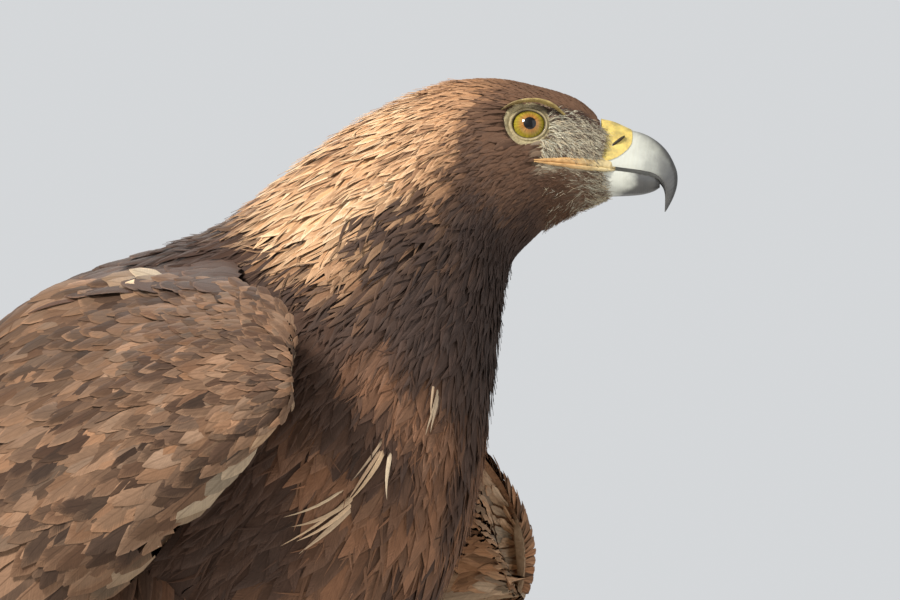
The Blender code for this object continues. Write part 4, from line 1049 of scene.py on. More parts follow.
def new_group(name, inputs, outputs):
    """An empty shader group with its sockets, and its input and output nodes."""
    if name in bpy.data.node_groups:
        return bpy.data.node_groups[name], None, None
    tree = bpy.data.node_groups.new(name, "ShaderNodeTree")
    for socket, kind, value in inputs:
        made = tree.interface.new_socket(name=socket, in_out="INPUT", socket_type=kind)
        made.default_value = value
    for socket, kind in outputs:
        tree.interface.new_socket(name=socket, in_out="OUTPUT", socket_type=kind)
    return tree, tree.nodes.new("NodeGroupInput"), tree.nodes.new("NodeGroupOutput")


def new_look(name):
    look = bpy.data.materials.new(name)
    look.use_nodes = True
    return look, look.node_tree, look.node_tree.nodes["Principled BSDF"]


def bump(tree, height, distance, strength=1.0):
    return wire(tree, "ShaderNodeBump", {"Height": height, "Distance": distance, "Strength": strength}).outputs[0]


def vane_group():
    """Barbs, shaft, pale margin and dark middle of a feather."""
    tree, given, put = new_group(
        "Vane pattern",
        (("Plume", "NodeSocketColor", (0.1, 0.06, 0.04, 1)), ("Margin", "NodeSocketColor", (0.4, 0.3, 0.2, 1)),
         ("Strength", "NodeSocketFloat", 0.5), ("Margin Start", "NodeSocketFloat", 0.6),
         ("Shaft", "NodeSocketFloat", 0.5), ("Streaks", "NodeSocketFloat", 0.5), ("Bars", "NodeSocketFloat", 0.0)),
        (("Color", "NodeSocketColor"), ("Height", "NodeSocketFloat"), ("Roughness", "NodeSocketFloat")),
    )
    if given is None:
        return tree
    inside = given.outputs
    vane = wire(tree, "ShaderNodeUVMap", uv_map="Vane").outputs[0]
    part = wire(tree, "ShaderNodeUVMap", uv_map="Share").outputs[0]
    x, y, _ = wire(tree, "ShaderNodeSeparateXYZ", {"Vector": vane}).outputs
    share_x, share_y, _ = wire(tree, "ShaderNodeSeparateXYZ", {"Vector": part}).outputs
    from_shaft = maths(tree, "ABSOLUTE", x)
    chevron = minus(tree, y, times(tree, from_shaft, 1.3))
    lie = wire(tree, "ShaderNodeCombineXYZ", {"X": chevron, "Y": times(tree, x, 0.6)}).outputs[0]
    barbs = noise(tree, stretched(tree, lie, (11.0, 2.0, 1.0)), 1.0, 3.0, 0.6)
    streaks = noise(tree, stretched(tree, vane, (14.0, 1.6, 1.0)), 1.0, 2.0, 0.6)
    out = maths(tree, "ABSOLUTE", minus(tree, share_x, 0.5))
    out = times(tree, out, 2.0)
    tip = maths(tree, "POWER", share_y, 2.2)
    edge = maths(tree, "MAXIMUM", out, tip)
    edge = plus(tree, edge, times(tree, minus(tree, barbs, 0.5), 0.5))
    rim = mask(tree, edge, inside["Margin Start"], plus(tree, inside["Margin Start"], 0.35))
    rim = times(tree, rim, inside["Strength"])
    rim = times(tree, rim, mask(tree, share_y, 0.25, 0.6))
    shade = times(tree, minus(tree, streaks, 0.5), inside["Streaks"])
    shade = plus(tree, times(tree, minus(tree, barbs, 0.5), 0.7), shade)
    shade = plus(tree, shade, 1.0)
    tone = wire(tree, "ShaderNodeCombineXYZ", {"X": shade, "Y": shade, "Z": shade}).outputs[0]
    ripple = plus(tree, times(tree, y, 2.6), times(tree, streaks, 2.4))
    band = times(tree, mask(tree, maths(tree, "SINE", ripple), 0.0, 0.8), inside["Bars"])
    band = times(tree, band, minus(tree, 1.0, mask(tree, share_y, 0.72, 0.82)))
    barred = mix(tree, band, inside["Plume"], inside["Margin"])
    base = mix(tree, 1.0, mix(tree, rim, barred, inside["Margin"]), tone, "MULTIPLY")
    shaft = rescaled(tree, from_shaft, 1.0, 0.0, 0.02, 0.055)
    shaft = times(tree, shaft, inside["Shaft"])
    dark = mix(tree, 1.0, base, (0.35, 0.3, 0.28), "MULTIPLY")
    final = mix(tree, shaft, base, dark)
    height = plus(tree, barbs, times(tree, shaft, 0.6))
    rough = rescaled(tree, barbs, 0.58, 0.85)
    tree.links.new(final, put.inputs["Color"])
    tree.links.new(height, put.inputs["Height"])
    tree.links.new(rough, put.inputs["Roughness"])
    return tree


def grain_group():
    """Fine unevenness for skin and horn, from the piece's own place."""
    tree, given, put = new_group(
        "Fine grain",
        (("Color", "NodeSocketColor", (0.5, 0.5, 0.5, 1)), ("Shade", "NodeSocketColor", (0.3, 0.3, 0.3, 1)),
         ("Scale", "NodeSocketFloat", 300.0), ("Amount", "NodeSocketFloat", 0.5)),
        (("Color", "NodeSocketColor"), ("Height", "NodeSocketFloat"), ("Spots", "NodeSocketFloat")),
    )
    if given is None:
        return tree
    inside = given.outputs
    place = wire(tree, "ShaderNodeTexCoord").outputs["Object"]
    broad = noise(tree, place, times(tree, inside["Scale"], 0.25), 4.0)
    fine = noise(tree, place, inside["Scale"], 3.0)
    cells = wire(tree, "ShaderNodeTexVoronoi", {"Vector": place, "Scale": inside["Scale"]}).outputs["Distance"]
    amount = times(tree, mask(tree, broad, 0.35, 0.7), inside["Amount"])
    tree.links.new(mix(tree, amount, inside["Color"], inside["Shade"]), put.inputs["Color"])
    tree.links.new(plus(tree, fine, times(tree, cells, 0.6)), put.inputs["Height"])
    tree.links.new(fine, put.inputs["Spots"])
    return tree


def use_group(tree, group, values):
    node = tree.nodes.new("ShaderNodeGroup")
    node.node_tree = group
    for key, value in values.items():
        if isinstance(value, bpy.types.NodeSocket):
            tree.links.new(value, node.inputs[key])
        else:
            node.inputs[key].default_value = value
    return node.outputs


def feather_look(name, margin_start=0.6, shaft=0.4, streaks=0.5, barb_depth=0.0003, gloss=0.16, bars=0.0):
    """Plumage that reads its colours from the feather's own attributes."""
    if name in bpy.data.materials:
        return bpy.data.materials[name]
    look, tree, shader = new_look(name)
    plume = wire(tree, "ShaderNodeAttribute", attribute_name="plume").outputs
    margin = wire(tree, "ShaderNodeAttribute", attribute_name="margin").outputs
    made = use_group(tree, vane_group(), {
        "Plume": plume["Color"], "Margin": margin["Color"], "Strength": plume["Alpha"],
        "Margin Start": margin_start, "Shaft": shaft, "Streaks": streaks, "Bars": bars})
    tree.links.new(made["Color"], shader.inputs["Base Color"])
    tree.links.new(made["Roughness"], shader.inputs["Roughness"])
    tree.links.new(bump(tree, made["Height"], barb_depth, 0.6), shader.inputs["Normal"])
    shader.inputs["Specular IOR Level"].default_value = gloss
    return look


def grain_look(name, first, second, scale, amount, depth, rough, coat_weight=0.0, subsurface=0.0):
    """Skin or plain horn with two colours and a fine grain."""
    if name in bpy.data.materials:
        return bpy.data.materials[name]
    look, tree, shader = new_look(name)
    made = use_group(tree, grain_group(), {
        "Color": (*first, 1.0), "Shade": (*second, 1.0), "Scale": scale, "Amount": amount})
    tree.links.new(made["Color"], shader.inputs["Base Color"])
    tree.links.new(bump(tree, made["Height"], depth), shader.inputs["Normal"])
    shader.inputs["Roughness"].default_value = rough
    shader.inputs["Coat Weight"].default_value = coat_weight
    shader.inputs["Subsurface Weight"].default_value = subsurface
    shader.inputs["Subsurface Radius"].default_value = (0.003, 0.0015, 0.0008)
    return look


def soft_look(name, scale, depth, rough, coat_weight=0.0):
    """Bare skin that reads its colour from its own points, with a fine grain over it."""
    look, tree, shader = new_look(name)
    plume = wire(tree, "ShaderNodeAttribute", attribute_name="plume").outputs["Color"]
    shade = mix(tree, 1.0, plume, (0.55, 0.50, 0.42), "MULTIPLY")
    made = use_group(tree, grain_group(), {"Color": plume, "Shade": shade, "Scale": scale, "Amount": 0.7})
    tree.links.new(made["Color"], shader.inputs["Base Color"])
    tree.links.new(bump(tree, made["Height"], depth), shader.inputs["Normal"])
    shader.inputs["Roughness"].default_value = rough
    shader.inputs["Coat Weight"].default_value = coat_weight
    shader.inputs["Specular IOR Level"].default_value = 0.3
    return look


def down_look():
    """The skin under the feathers, with the same markings, and soft with down."""
    look, tree, shader = new_look("down_skin")
    plume = wire(tree, "ShaderNodeAttribute", attribute_name="plume").outputs["Color"]
    place = wire(tree, "ShaderNodeTexCoord").outputs["Object"]
    fluff = noise(tree, place, 420.0, 4.0, 0.7)
    dull = mix(tree, 1.0, plume, (0.8, 0.77, 0.74), "MULTIPLY")
    lit = mix(tree, mask(tree, fluff, 0.35, 0.75), dull, plume)
    tree.links.new(lit, shader.inputs["Base Color"])
    tree.links.new(bump(tree, fluff, 0.0008), shader.inputs["Normal"])
    shader.inputs["Roughness"].default_value = 0.9
    shader.inputs["Specular IOR Level"].default_value = 0.15
    return look


def horn_look(name, colours, along_map, pale_end, dark_start):
    """Horn that is pale at its root and dark at its tip and along its ridge, with growth lines."""
    look, tree, shader = new_look(name)
    x, y, _ = wire(tree, "ShaderNodeSeparateXYZ", {
        "Vector": wire(tree, "ShaderNodeUVMap", uv_map=along_map).outputs[0]}).outputs
    place = wire(tree, "ShaderNodeTexCoord").outputs["Object"]
    cloud = noise(tree, place, 160.0, 4.0)
    along = plus(tree, y, times(tree, minus(tree, cloud, 0.5), 0.25))
    ridge = minus(tree, 1.0, maths(tree, "ABSOLUTE", minus(tree, x, 0.5)))
    ridge = mask(tree, ridge, 0.72, 0.98)
    along = plus(tree, along, times(tree, ridge, 0.22))
    dark = mask(tree, along, pale_end, dark_start)
    lines = wire(tree, "ShaderNodeTexWave", {
        "Vector": wire(tree, "ShaderNodeCombineXYZ", {"X": y, "Y": times(tree, x, 0.2)}).outputs[0],
        "Scale": 9.0, "Distortion": 6.0, "Detail": 3.0}).outputs["Fac"]
    pale = mix(tree, times(tree, lines, 0.14), colours.horn, (0.55, 0.52, 0.42))
    deep = mix(tree, times(tree, cloud, 0.5), colours.horn_tip, (0.20, 0.19, 0.17))
    tree.links.new(mix(tree, dark, pale, deep), shader.inputs["Base Color"])
    tree.links.new(bump(tree, plus(tree, times(tree, lines, 0.3), cloud), 0.0001), shader.inputs["Normal"])
    shader.inputs["Roughness"].default_value = 0.28
    shader.inputs["Coat Weight"].default_value = 0.3
    shader.inputs["Coat Roughness"].default_value = 0.15
    return look


def eye_look(colours, sizes):
    """Pupil, streaked iris with a dark rim, and a wet surface."""
    look, tree, shader = new_look("eye_wet")
    turn, ring, _ = wire(tree, "ShaderNodeSeparateXYZ", {
        "Vector": wire(tree, "ShaderNodeUVMap", uv_map="Iris").outputs[0]}).outputs
    angle = times(tree, turn, math.tau)
    wheel = wire(tree, "ShaderNodeCombineXYZ", {
        "X": maths(tree, "COSINE", angle), "Y": maths(tree, "SINE", angle),
        "Z": times(tree, ring, 0.6)}).outputs[0]
    rays = noise(tree, wheel, 9.0, 4.0, 0.7)
    spots = noise(tree, wheel, 2.2, 2.0)
    edge = math.asin(sizes.iris_radius / sizes.eye_radius) / math.pi
    hole = math.asin(sizes.pupil_radius / sizes.eye_radius) / math.pi
    deep = mask(tree, ring, hole, hole + (edge - hole) * 0.75)
    iris = mix(tree, deep, colours.iris_inner, colours.iris)
    iris = mix(tree, mask(tree, spots, 0.55, 0.9), iris, colours.iris_inner)
    rays_tone = rescaled(tree, rays, 0.45, 1.35, 0.3, 0.7)
    tone = wire(tree, "ShaderNodeCombineXYZ", {"X": rays_tone, "Y": rays_tone, "Z": rays_tone}).outputs[0]
    iris = mix(tree, 1.0, iris, tone, "MULTIPLY")
    iris = mix(tree, mask(tree, ring, edge * 0.86, edge), iris, (0.012, 0.010, 0.006))
    final = mix(tree, mask(tree, ring, hole - 0.004, hole + 0.004), (0.002, 0.002, 0.003), iris)
    tree.links.new(final, shader.inputs["Base Color"])
    tree.links.new(bump(tree, rays, 0.0001, 0.4), shader.inputs["Normal"])
    shader.inputs["Roughness"].default_value = 0.45
    shader.inputs["Specular IOR Level"].default_value = 0.1
    shader.inputs["Coat Weight"].default_value = 0.7
    shader.inputs["Coat Roughness"].default_value = 0.02
    return look


# The skin

def skin_point(u, angle):
    """The body's outline drawn in by the coat, and pressed in round the eyes."""
    ground = GROUNDS["body"]
    p, _, _, normal = ground.frame(np.clip(u, 0.002, 15.998), angle)
    p = p - normal * (coat(u, 5) * MM)[..., None]
    _, across, _ = head_axes()
    for side, _ in SIDES:
        forward, out, height = head_place(p)
        away = np.hypot(forward - EYE_FORWARD, height - EYE_HEIGHT)
        near = (1 - fade(away, 8.0, 15.0)) * (out * side > 5)
        target = np.minimum(out * side, 17.0 - LID_SLOPE * (forward - EYE_FORWARD))
        p = p + across * (side * (target - out * side) * near * MM)[..., None]
    return p


class EAGLE_OT_skin(bpy.types.Operator):
    """Makes the one skin that lies under all the feathers"""

    bl_idname = "eagle.skin"
    bl_label = "Skin"

    def execute(self, context):
        paint = Paint(context.scene.eagle_colours)
        body = GROUNDS["body"]

        def sections(a):
            return smooth_path((0, 0.42, 1), (0.0, 4.6, 16.0), a)

        def body_tint(a, b):
            return paint.body(sections(a), (b * 2 - 1) * math.pi)[0]

        parts = [lofted(
            lambda a, b: skin_point(sections(a), (b * 2 - 1) * math.pi),
            lambda a, b: body.flat(sections(a), (b * 1.999 - 0.9995) * math.pi),
            170, 120, tint=body_tint)]
        parts.append(self.tube("tail_skin", 1.5, paint.tail, 24, 40))
        for side, name in SIDES:
            parts.append(self.wing(side, name, paint))
            parts.append(self.tube("leg_" + name, 4.0, paint.leg, 30, 40))
            parts.append(self.tube("tarsus_" + name, 1.8, paint.tarsus, 24, 32))
        mesh = fuse("skin", [to_mesh(part, "part") for part in parts])
        replaced = ["head", "neck", "torso", "tail"]
        for _, name in SIDES:
            replaced += ["wing_" + name, "leg_" + name, "tarsus_" + name]
        dress("skin", mesh, down_look(), replaced)
        return {"FINISHED"}

    def tube(self, name, depth, tint, rows, around):
        ground = GROUNDS[name]

        def point(a, b):
            p, _, _, normal = ground.frame(np.clip(a, 0.002, 0.998), b * math.tau)
            return p - normal * depth * MM

        def tints(a, b):
            return np.broadcast_to(tint, (len(a), 3))

        return lofted(point, lambda a, b: ground.flat(a, (b * 1.999 - 0.9995) * math.pi), rows, around, tint=tints)

    def wing(self, side, name, paint):
        """The flesh of a wing between its outer face and its lining."""
        outer, lining = GROUNDS["wing_" + name], GROUNDS["lining_" + name]

        def places(a, b):
            return WING_CORE_END * a**1.3, 1 - np.abs(2 * b - 1)

        def point(a, b):
            s, t = places(a, b)
            s, t = np.clip(s, 0.002, 1), np.clip(t, 0.02, 0.98)
            p, _, _, normal = outer.frame(s, t)
            face = p - normal * WING_SKIN * MM
            q, _, _, inward = lining.frame(s, t)
            back = q - inward * LINING_SKIN * MM
            return np.where((b > 0.5)[..., None] & (b < 1.0)[..., None], back, face)

        def tints(a, b):
            s, t = places(a, b)
            return paint.wing(s, t, side)[0]

        return lofted(point, lambda a, b: outer.flat(*places(a, b)), 60, 60, tint=tints)


# The head

def lid_outline(turn):
    """How far the lids' opening reaches from the eye's middle, in millimetres, by direction."""
    oval = 1 / np.hypot(np.cos(turn) / 8.3, np.sin(turn) / 7.3)
    return oval - 0.5 * np.exp(-(((turn - math.radians(70)) / 0.6) ** 2))


class EAGLE_OT_eyes(bpy.types.Operator):
    """Makes both eyes, with a bulging cornea"""

    bl_idname = "eagle.eyes"
    bl_label = "Eyes"

    def execute(self, context):
        sizes = context.scene.eagle_sizes
        look = eye_look(context.scene.eagle_colours, sizes)
        for side, name in SIDES:
            work = bmesh.new()
            bmesh.ops.create_uvsphere(work, u_segments=64, v_segments=48, radius=sizes.eye_radius)
            edge = math.asin(sizes.iris_radius / sizes.eye_radius)
            layer = work.loops.layers.uv.new("Iris")
            for vert in work.verts:
                ring = math.acos(max(-1.0, min(1.0, vert.co.z / sizes.eye_radius)))
                bulge = 1 + 0.035 * math.exp(-((ring / (edge * 0.8)) ** 2))
                vert.co *= bulge
            for face in work.faces:
                middle = face.calc_center_median()
                around = math.atan2(middle.y, middle.x)
                for loop in face.loops:
                    co = loop.vert.co
                    turn = math.atan2(co.y, co.x)
                    if math.hypot(co.x, co.y) < 1e-7:
                        turn = around
                    elif around - turn > math.pi:
                        turn += math.tau
                    elif turn - around > math.pi:
                        turn -= math.tau
                    ring = math.acos(max(-1.0, min(1.0, co.z / co.length)))
                    loop[layer].uv = (turn / math.tau, ring / math.pi)
            ahead, across, up = (Vector(axis) for axis in head_axes())
            gaze = (across * side + ahead * 0.05).normalized()
            turn = gaze.to_track_quat("Z", "Y").to_matrix().to_4x4()
            centre = Vector(head_point(EYE_FORWARD, side * EYE_OUT, EYE_HEIGHT))
            bmesh.ops.transform(work, verts=work.verts, matrix=Matrix.Translation(centre) @ turn)
            dress("eyeball_" + name, to_mesh(work, "eyeball_" + name), look, ["eye_" + name])
        return {"FINISHED"}


class EAGLE_OT_lids(bpy.types.Operator):
    """Makes the lids, the skin round them and the brow ridges"""

    bl_idname = "eagle.lids"
    bl_label = "Lids and brows"

    def execute(self, context):
        colours, sizes = context.scene.eagle_colours, context.scene.eagle_sizes
        look = soft_look("lid_skin", 900.0, 0.0003, 0.5, 0.1)
        lid = np.array(colours.lid[:])
        for side, name in SIDES:
            dress("lids_" + name, to_mesh(self.lid(side, lid), "lids_" + name), look)
            brow = to_mesh(self.brow(side, sizes.brow_thickness / MM, lid), "brow_" + name)
            dress("brow_" + name, brow, look)
        return {"FINISHED"}

    def lid(self, side, pale):
        """A soft rim on the eyeball, a groove behind it, and a skirt out to the face."""
        table = np.array(LID_PROFILE)

        def point(a, b):
            turn = b * math.tau
            row = smooth_path(table[:, 0], table[:, 1:], a)
            reach = lid_outline(turn) + row[..., 0]
            fold = 0.14 * np.sin(turn * 31 + 6 * np.sin(turn * 3) + a * 9) * fade(a, 0.25, 0.5)
            slope = -LID_SLOPE * reach * np.cos(turn) * fade(reach, 8, 13)
            place = EYE_FORWARD + reach * np.cos(turn), EYE_HEIGHT + reach * np.sin(turn)
            return head_point(place[0], side * (row[..., 1] + fold + slope), place[1])

        def tints(a, b):
            dark = 0.93 * (1 - fade(a, 0.18, 0.32))
            # Painted shadow: the upper front of each lid ring, under the front of the brow ridge, is darkened as if
            # the brow shaded it.
            under = np.exp(-(((b * math.tau - 1.0) / 0.75) ** 2)) * fade(a, 0.3, 0.45)
            dark = np.maximum(dark, 0.75 * under)
            spots = 0.3 * (np.sin(b * 170 + 9 * np.sin(a * 23)) > 0.55) * fade(a, 0.3, 0.6)
            return blend_colour(pale, np.array([0.05, 0.035, 0.025]), np.maximum(dark, spots))

        work = lofted(point, rows=40, around=120, closed=False, tint=tints)
        bmesh.ops.remove_doubles(work, verts=work.verts, dist=1e-6)
        bmesh.ops.recalc_face_normals(work, faces=work.faces)
        bmesh.ops.solidify(work, geom=work.faces[:], thickness=0.0004)
        bmesh.ops.recalc_face_normals(work, faces=work.faces)
        return work

    def brow(self, side, thick, pale):
        path = [raw_head_point(f, side * out, h) / MM for f, out, h in BROW]
        surface = tube_surface(path, np.array([1.0, 2.4, 2.8, 2.4, 1.0]), np.array([0.5, 0.9, 1.0, 1.1, 0.6]) * thick)

        def point(a, b):
            wear = 1 + 0.05 * np.sin(a * 40 + 3 * np.sin(b * 9)) * np.sin(a * math.pi)
            middle = 0.5 * (surface(a, np.zeros_like(b)) + surface(a, np.full_like(b, math.pi)))
            return middle + (surface(a, b * math.tau) - middle) * wear[..., None]

        def tints(a, b):
            back = fade(0.5 - a, 0.0, 0.4)
            return blend_colour(pale * [1.0, 0.9, 0.6], np.array([0.12, 0.08, 0.05]), 0.7 * back)

        return lofted(point, rows=60, around=20, tint=tints)


class EAGLE_OT_bill(bpy.types.Operator):
    """Makes the bill, the cere with its nostrils, and the lips"""

    bl_idname = "eagle.bill"
    bl_label = "Bill"

    def execute(self, context):
        colours, sizes = context.scene.eagle_colours, context.scene.eagle_sizes
        upper_look = horn_look("bill_horn_upper", colours, "Bill", 0.16, 0.64)
        lower_look = horn_look("bill_horn_lower", colours, "Bill", 0.30, 0.54)
        upper = self.half(UPPER_BILL, UPPER_HOLLOW, 70, 0.0)
        cere = self.half(UPPER_BILL, UPPER_HOLLOW, 70, 0.4)
        lower = self.half(LOWER_BILL, LOWER_HOLLOW, 44, 0.0)
        dress("bill_top", to_mesh(upper, "bill_top"), upper_look, ["bill_upper"])
        dress("bill_under", to_mesh(lower, "bill_under"), lower_look, ["bill_lower"])
        cere_look = grain_look("cere_skin", colours.cere, (0.42, 0.33, 0.11), 800.0, 0.9, 0.00015, 0.4, 0.2, 0.1)
        mesh = fuse("cere_soft", [self.cere_block()], "INTERSECT", to_mesh(cere, "cere_soft"))
        mesh = fuse("cere_soft", [self.nostril(side) for side, _ in SIDES], "DIFFERENCE", mesh)
        dress("cere_soft", mesh, cere_look, ["cere"])
        # The dark lining inside each nostril is painted shade for the depth of the opening.
        dark = grain_look("nostril_dark", (0.05, 0.035, 0.02), (0.02, 0.015, 0.01), 900.0, 0.6, 0.0001, 0.6)
        works = [self.nostril_floor(side) for side, _ in SIDES]
        dress("nostril_floors", joined("nostril_floors", works), dark)
        lip_look = soft_look("lip_skin", 500.0, 0.00015, 0.42, 0.15)
        tints = np.array(colours.lip[:]), np.array(colours.cere[:]) * [0.95, 1.0, 1.9]
        for side, name in SIDES:
            for level, place in ((-1, "lower"), (1, "upper")):
                lip = to_mesh(self.lip(side, level, sizes.lip_thickness / MM, *tints), "lip")
                dress("lip_" + place + "_" + name, lip, lip_look)
        return {"FINISHED"}

    def cere_block(self):
        """A block whose front face follows the edge of the cere."""
        behind = [(112.0, CERE_EDGE[-1][1]), (112.0, 560.0), (CERE_EDGE[0][0] - 1.5, 560.0)]
        work = bmesh.new()
        ring = [work.verts.new(head_point(f, -20.0, h)) for f, h in (*CERE_EDGE, *behind)]
        face = work.faces.new(ring)
        made = bmesh.ops.extrude_face_region(work, geom=[face])
        moved = [v for v in made["geom"] if isinstance(v, bmesh.types.BMVert)]
        bmesh.ops.translate(work, verts=moved, vec=Vector(head_axes()[1] * 40 * MM))
        bmesh.ops.triangulate(work, faces=[f for f in work.faces if len(f.verts) > 4])
        bmesh.ops.recalc_face_normals(work, faces=work.faces)
        return to_mesh(work, "cere_block")

    def half(self, table, hollow, rows, swell):
        """One half of the bill: an arch over its top, and a slightly hollow side facing the other half."""
        table = np.array([[*top, *bottom, w, f] for top, bottom, w, f in table], float)

        def point(a, b):
            row = smooth_path(np.arange(len(table)), table, a * (len(table) - 1))
            arch = np.clip(b / BILL_ARCH_END, 0, 1) * math.pi
            under = np.clip((b - BILL_ARCH_END) / (1 - BILL_ARCH_END), 0, 1)
            over = b <= BILL_ARCH_END
            c = np.cos(arch)
            out = np.where(over, np.sign(c) * np.abs(c) ** row[..., 5], 2 * under - 1)
            rise = np.where(over, np.sin(arch) ** BILL_RISE, hollow * np.sin(under * math.pi) ** 0.5)
            profile = row[..., 2:4] + (row[..., 0:2] - row[..., 2:4]) * rise[..., None]
            wide = row[..., 4] + swell * fade(a, 0.0, 0.05)
            lift = profile[..., 1] + swell * rise * (1 if hollow == UPPER_HOLLOW else -1)
            return head_point(profile[..., 0], out * wide, lift)

        def bill_map(a, b):
            return np.stack([np.clip(b / BILL_ARCH_END, 0, 1), a], -1)

        return lofted(point, bill_map, rows, 60, map_name="Bill")

    def nostril_shape(self, side, radii, depth):
        ahead, across, up = head_axes()
        slant = unit(ahead * math.cos(NOSTRIL_SLANT) + up * math.sin(NOSTRIL_SLANT))
        axes = Matrix([list(slant), list(across), list(np.cross(slant, across))]).transposed().to_4x4()
        work = bmesh.new()
        bmesh.ops.create_uvsphere(work, u_segments=24, v_segments=16, radius=MM)
        bmesh.ops.scale(work, verts=work.verts, vec=Vector(radii))
        forward, height, out = NOSTRIL
        place = Matrix.Translation(Vector(head_point(forward, side * (out - depth), height)))
        bmesh.ops.transform(work, verts=work.verts, matrix=place @ axes)
        return work

    def nostril(self, side):
        return to_mesh(self.nostril_shape(side, NOSTRIL_RADII, 0.0), "nostril")

    def nostril_floor(self, side):
        # A dark lining just inside the nostril's cut, which paints the shade of a deep opening.
        return self.nostril_shape(side, [r * 1.05 for r in NOSTRIL_RADII], 1.1)

    def lip(self, side, level, thick, corner, front):
        """The fleshy rim above the mouth's line, which runs into the cere, or the thinner one below it."""
        tall = LIP_HEIGHTS[level]
        line = ((128.5, 9.6, 525.2), (125, 12.2, 525.1), *MOUTH[1:-1], (87.5, 27.2, 525.2))
        path = [raw_head_point(f, side * (out - 0.3), h + level * (0.2 + thick * t * 0.8)) / MM
                for (f, out, h), t in zip(line, tall)]
        surface = tube_surface(path, np.array([0.6, 1.2, 1.5, 1.6, 1.3, 0.3]), np.array(tall) * thick)

        def point(a, b):
            wave = 1 + 0.08 * np.sin(a * 34 + 2 * level) + 0.05 * np.sin(a * 83 + b * 6)
            middle = 0.5 * (surface(a, np.zeros_like(b)) + surface(a, np.full_like(b, math.pi)))
            return middle + (surface(a, b * math.tau) - middle) * wave[..., None]

        def tints(a, b):
            return blend_colour(front, corner, fade(a + 0.05 * np.sin(b * 19 + a * 31), 0.3, 0.75))

        return lofted(point, rows=70, around=16, tint=tints)


# Feather pieces

def near_eye(path, reach):
    """Which feathers start, pass or end within reach of an eye."""
    forward, out, height = head_place(body_point(path[..., 0], path[..., 1]))
    away = np.hypot((forward - EYE_FORWARD) / 1.06, height - EYE_HEIGHT)
    return ((away < reach) & (np.abs(out) > 12)).any(1)


def on_lips(root, reach):
    """Which roots lie on the lips."""
    forward, _, height = head_place(body_point(root[:, 0], root[:, 1]))
    line = np.interp(forward, [p[0] for p in MOUTH[::-1]], [p[2] for p in MOUTH[::-1]])
    return (forward > MOUTH[-1][0] - 1) & (np.abs(height - line - 0.6) < reach)


def on_lores(root):
    """Which roots lie on the bare part before the eye."""
    angle = np.degrees(np.abs(root[:, 1]))
    forward, _, height = head_place(body_point(root[:, 0], root[:, 1]))
    ragged = 1.6 * np.sin(height * 2.1 + forward * 1.3) + 1.2 * np.sin(height * 5.3)
    return (forward > 93 + ragged) & (angle > 60) & (height > 526)


def stand_off(count, root, middle, tip):
    """The lift of each feather at its root, middle and tip. Each may be one value or one for every feather."""
    return np.stack([np.broadcast_to(value, (count,)) for value in (root, middle, tip)], -1)


def body_feathers(name, feathers, context, scale):
    """Lays one of the body's coats on both sides, with its lengths scaled."""
    first, last, dense, outline, rings, tip_lift, wide, turn_spread, curl, (low, high), section = BODY_COATS[name]
    sizes = context.scene.eagle_sizes
    paint = Paint(context.scene.eagle_colours)
    ground, rng = GROUNDS["body"], feathers.rng
    for side, _ in SIDES:
        ends = sorted((side * math.radians(low), side * math.radians(high)))
        root = scatter(ground, first, last, lambda u: coat(u, 1) / dense, lambda u: coat(u, 2) / dense,
                       *ends, rng, sizes.wildness)
        root = root[(root[:, 0] > 0.02) & (root[:, 0] < 15.9)]
        root = root[~on_lips(root, 1.6) & ~on_lores(root)]
        count = len(root)
        reach = coat(root[:, 0], 3) * scale * rng.uniform(0.8, 1.18, count)
        turn = rng.normal(0, turn_spread * sizes.wildness, count)
        path = lay(ground, root, reach, turn, rings, rng.normal(0, curl, count), last=16.2)
        keep = ~near_eye(path, 11.2)
        path, reach = path[keep], reach[keep]
        count = len(path)
        u = path[:, 0, 0]
        half = coat(u, 4) * wide * rng.uniform(0.75, 1.25, count)
        depth = coat(u, 5)
        top = tip_lift * rng.uniform(0.2, 1.6, count)
        lift = stand_off(count, -depth - 0.6, -0.45 * depth, top)
        middle = path[:, int(rings * 0.7)]
        base, margin, strength = paint.body(middle[:, 0], middle[:, 1], rng)
        spread = (0.08 + 0.06 * fade(u, 3, 6))[:, None]
        paints = uneven(rng, base, spread), uneven(rng, margin, spread), strength
        feathers.add(ground, path, half, lift, OUTLINES[outline], paints, section=section, thick=0.2,
                     bow=rng.normal(0, 0.02, count) * reach)


class EAGLE_OT_head_feathers(bpy.types.Operator):
    """Makes the small feathers of the head"""

    bl_idname = "eagle.head_feathers"
    bl_label = "Head feathers"

    def execute(self, context):
        sizes = context.scene.eagle_sizes
        feathers = Feathers(sizes.seed)
        body_feathers("head_feathers", feathers, context, sizes.head_length)
        feathers.build("head_feathers", feather_look("plumage_small", 0.75, 0.0, 0.45, 0.0001, 0.12))
        return {"FINISHED"}


class EAGLE_OT_neck_feathers(bpy.types.Operator):
    """Makes the pointed feathers of the nape, the neck and the throat"""

    bl_idname = "eagle.neck_feathers"
    bl_label = "Neck feathers"

    def execute(self, context):
        sizes = context.scene.eagle_sizes
        look = feather_look("plumage_hackle", 0.5, 0.15, 0.7, 0.0002, 0.25)
        feathers = Feathers(sizes.seed + 1)
        body_feathers("neck_feathers", feathers, context, sizes.neck_length)
        feathers.build("neck_feathers", look)
        strands = Feathers(sizes.seed + 2)
        body_feathers("neck_strands", strands, context, sizes.neck_length * 0.85)
        strands.build("neck_strands", look)
        return {"FINISHED"}


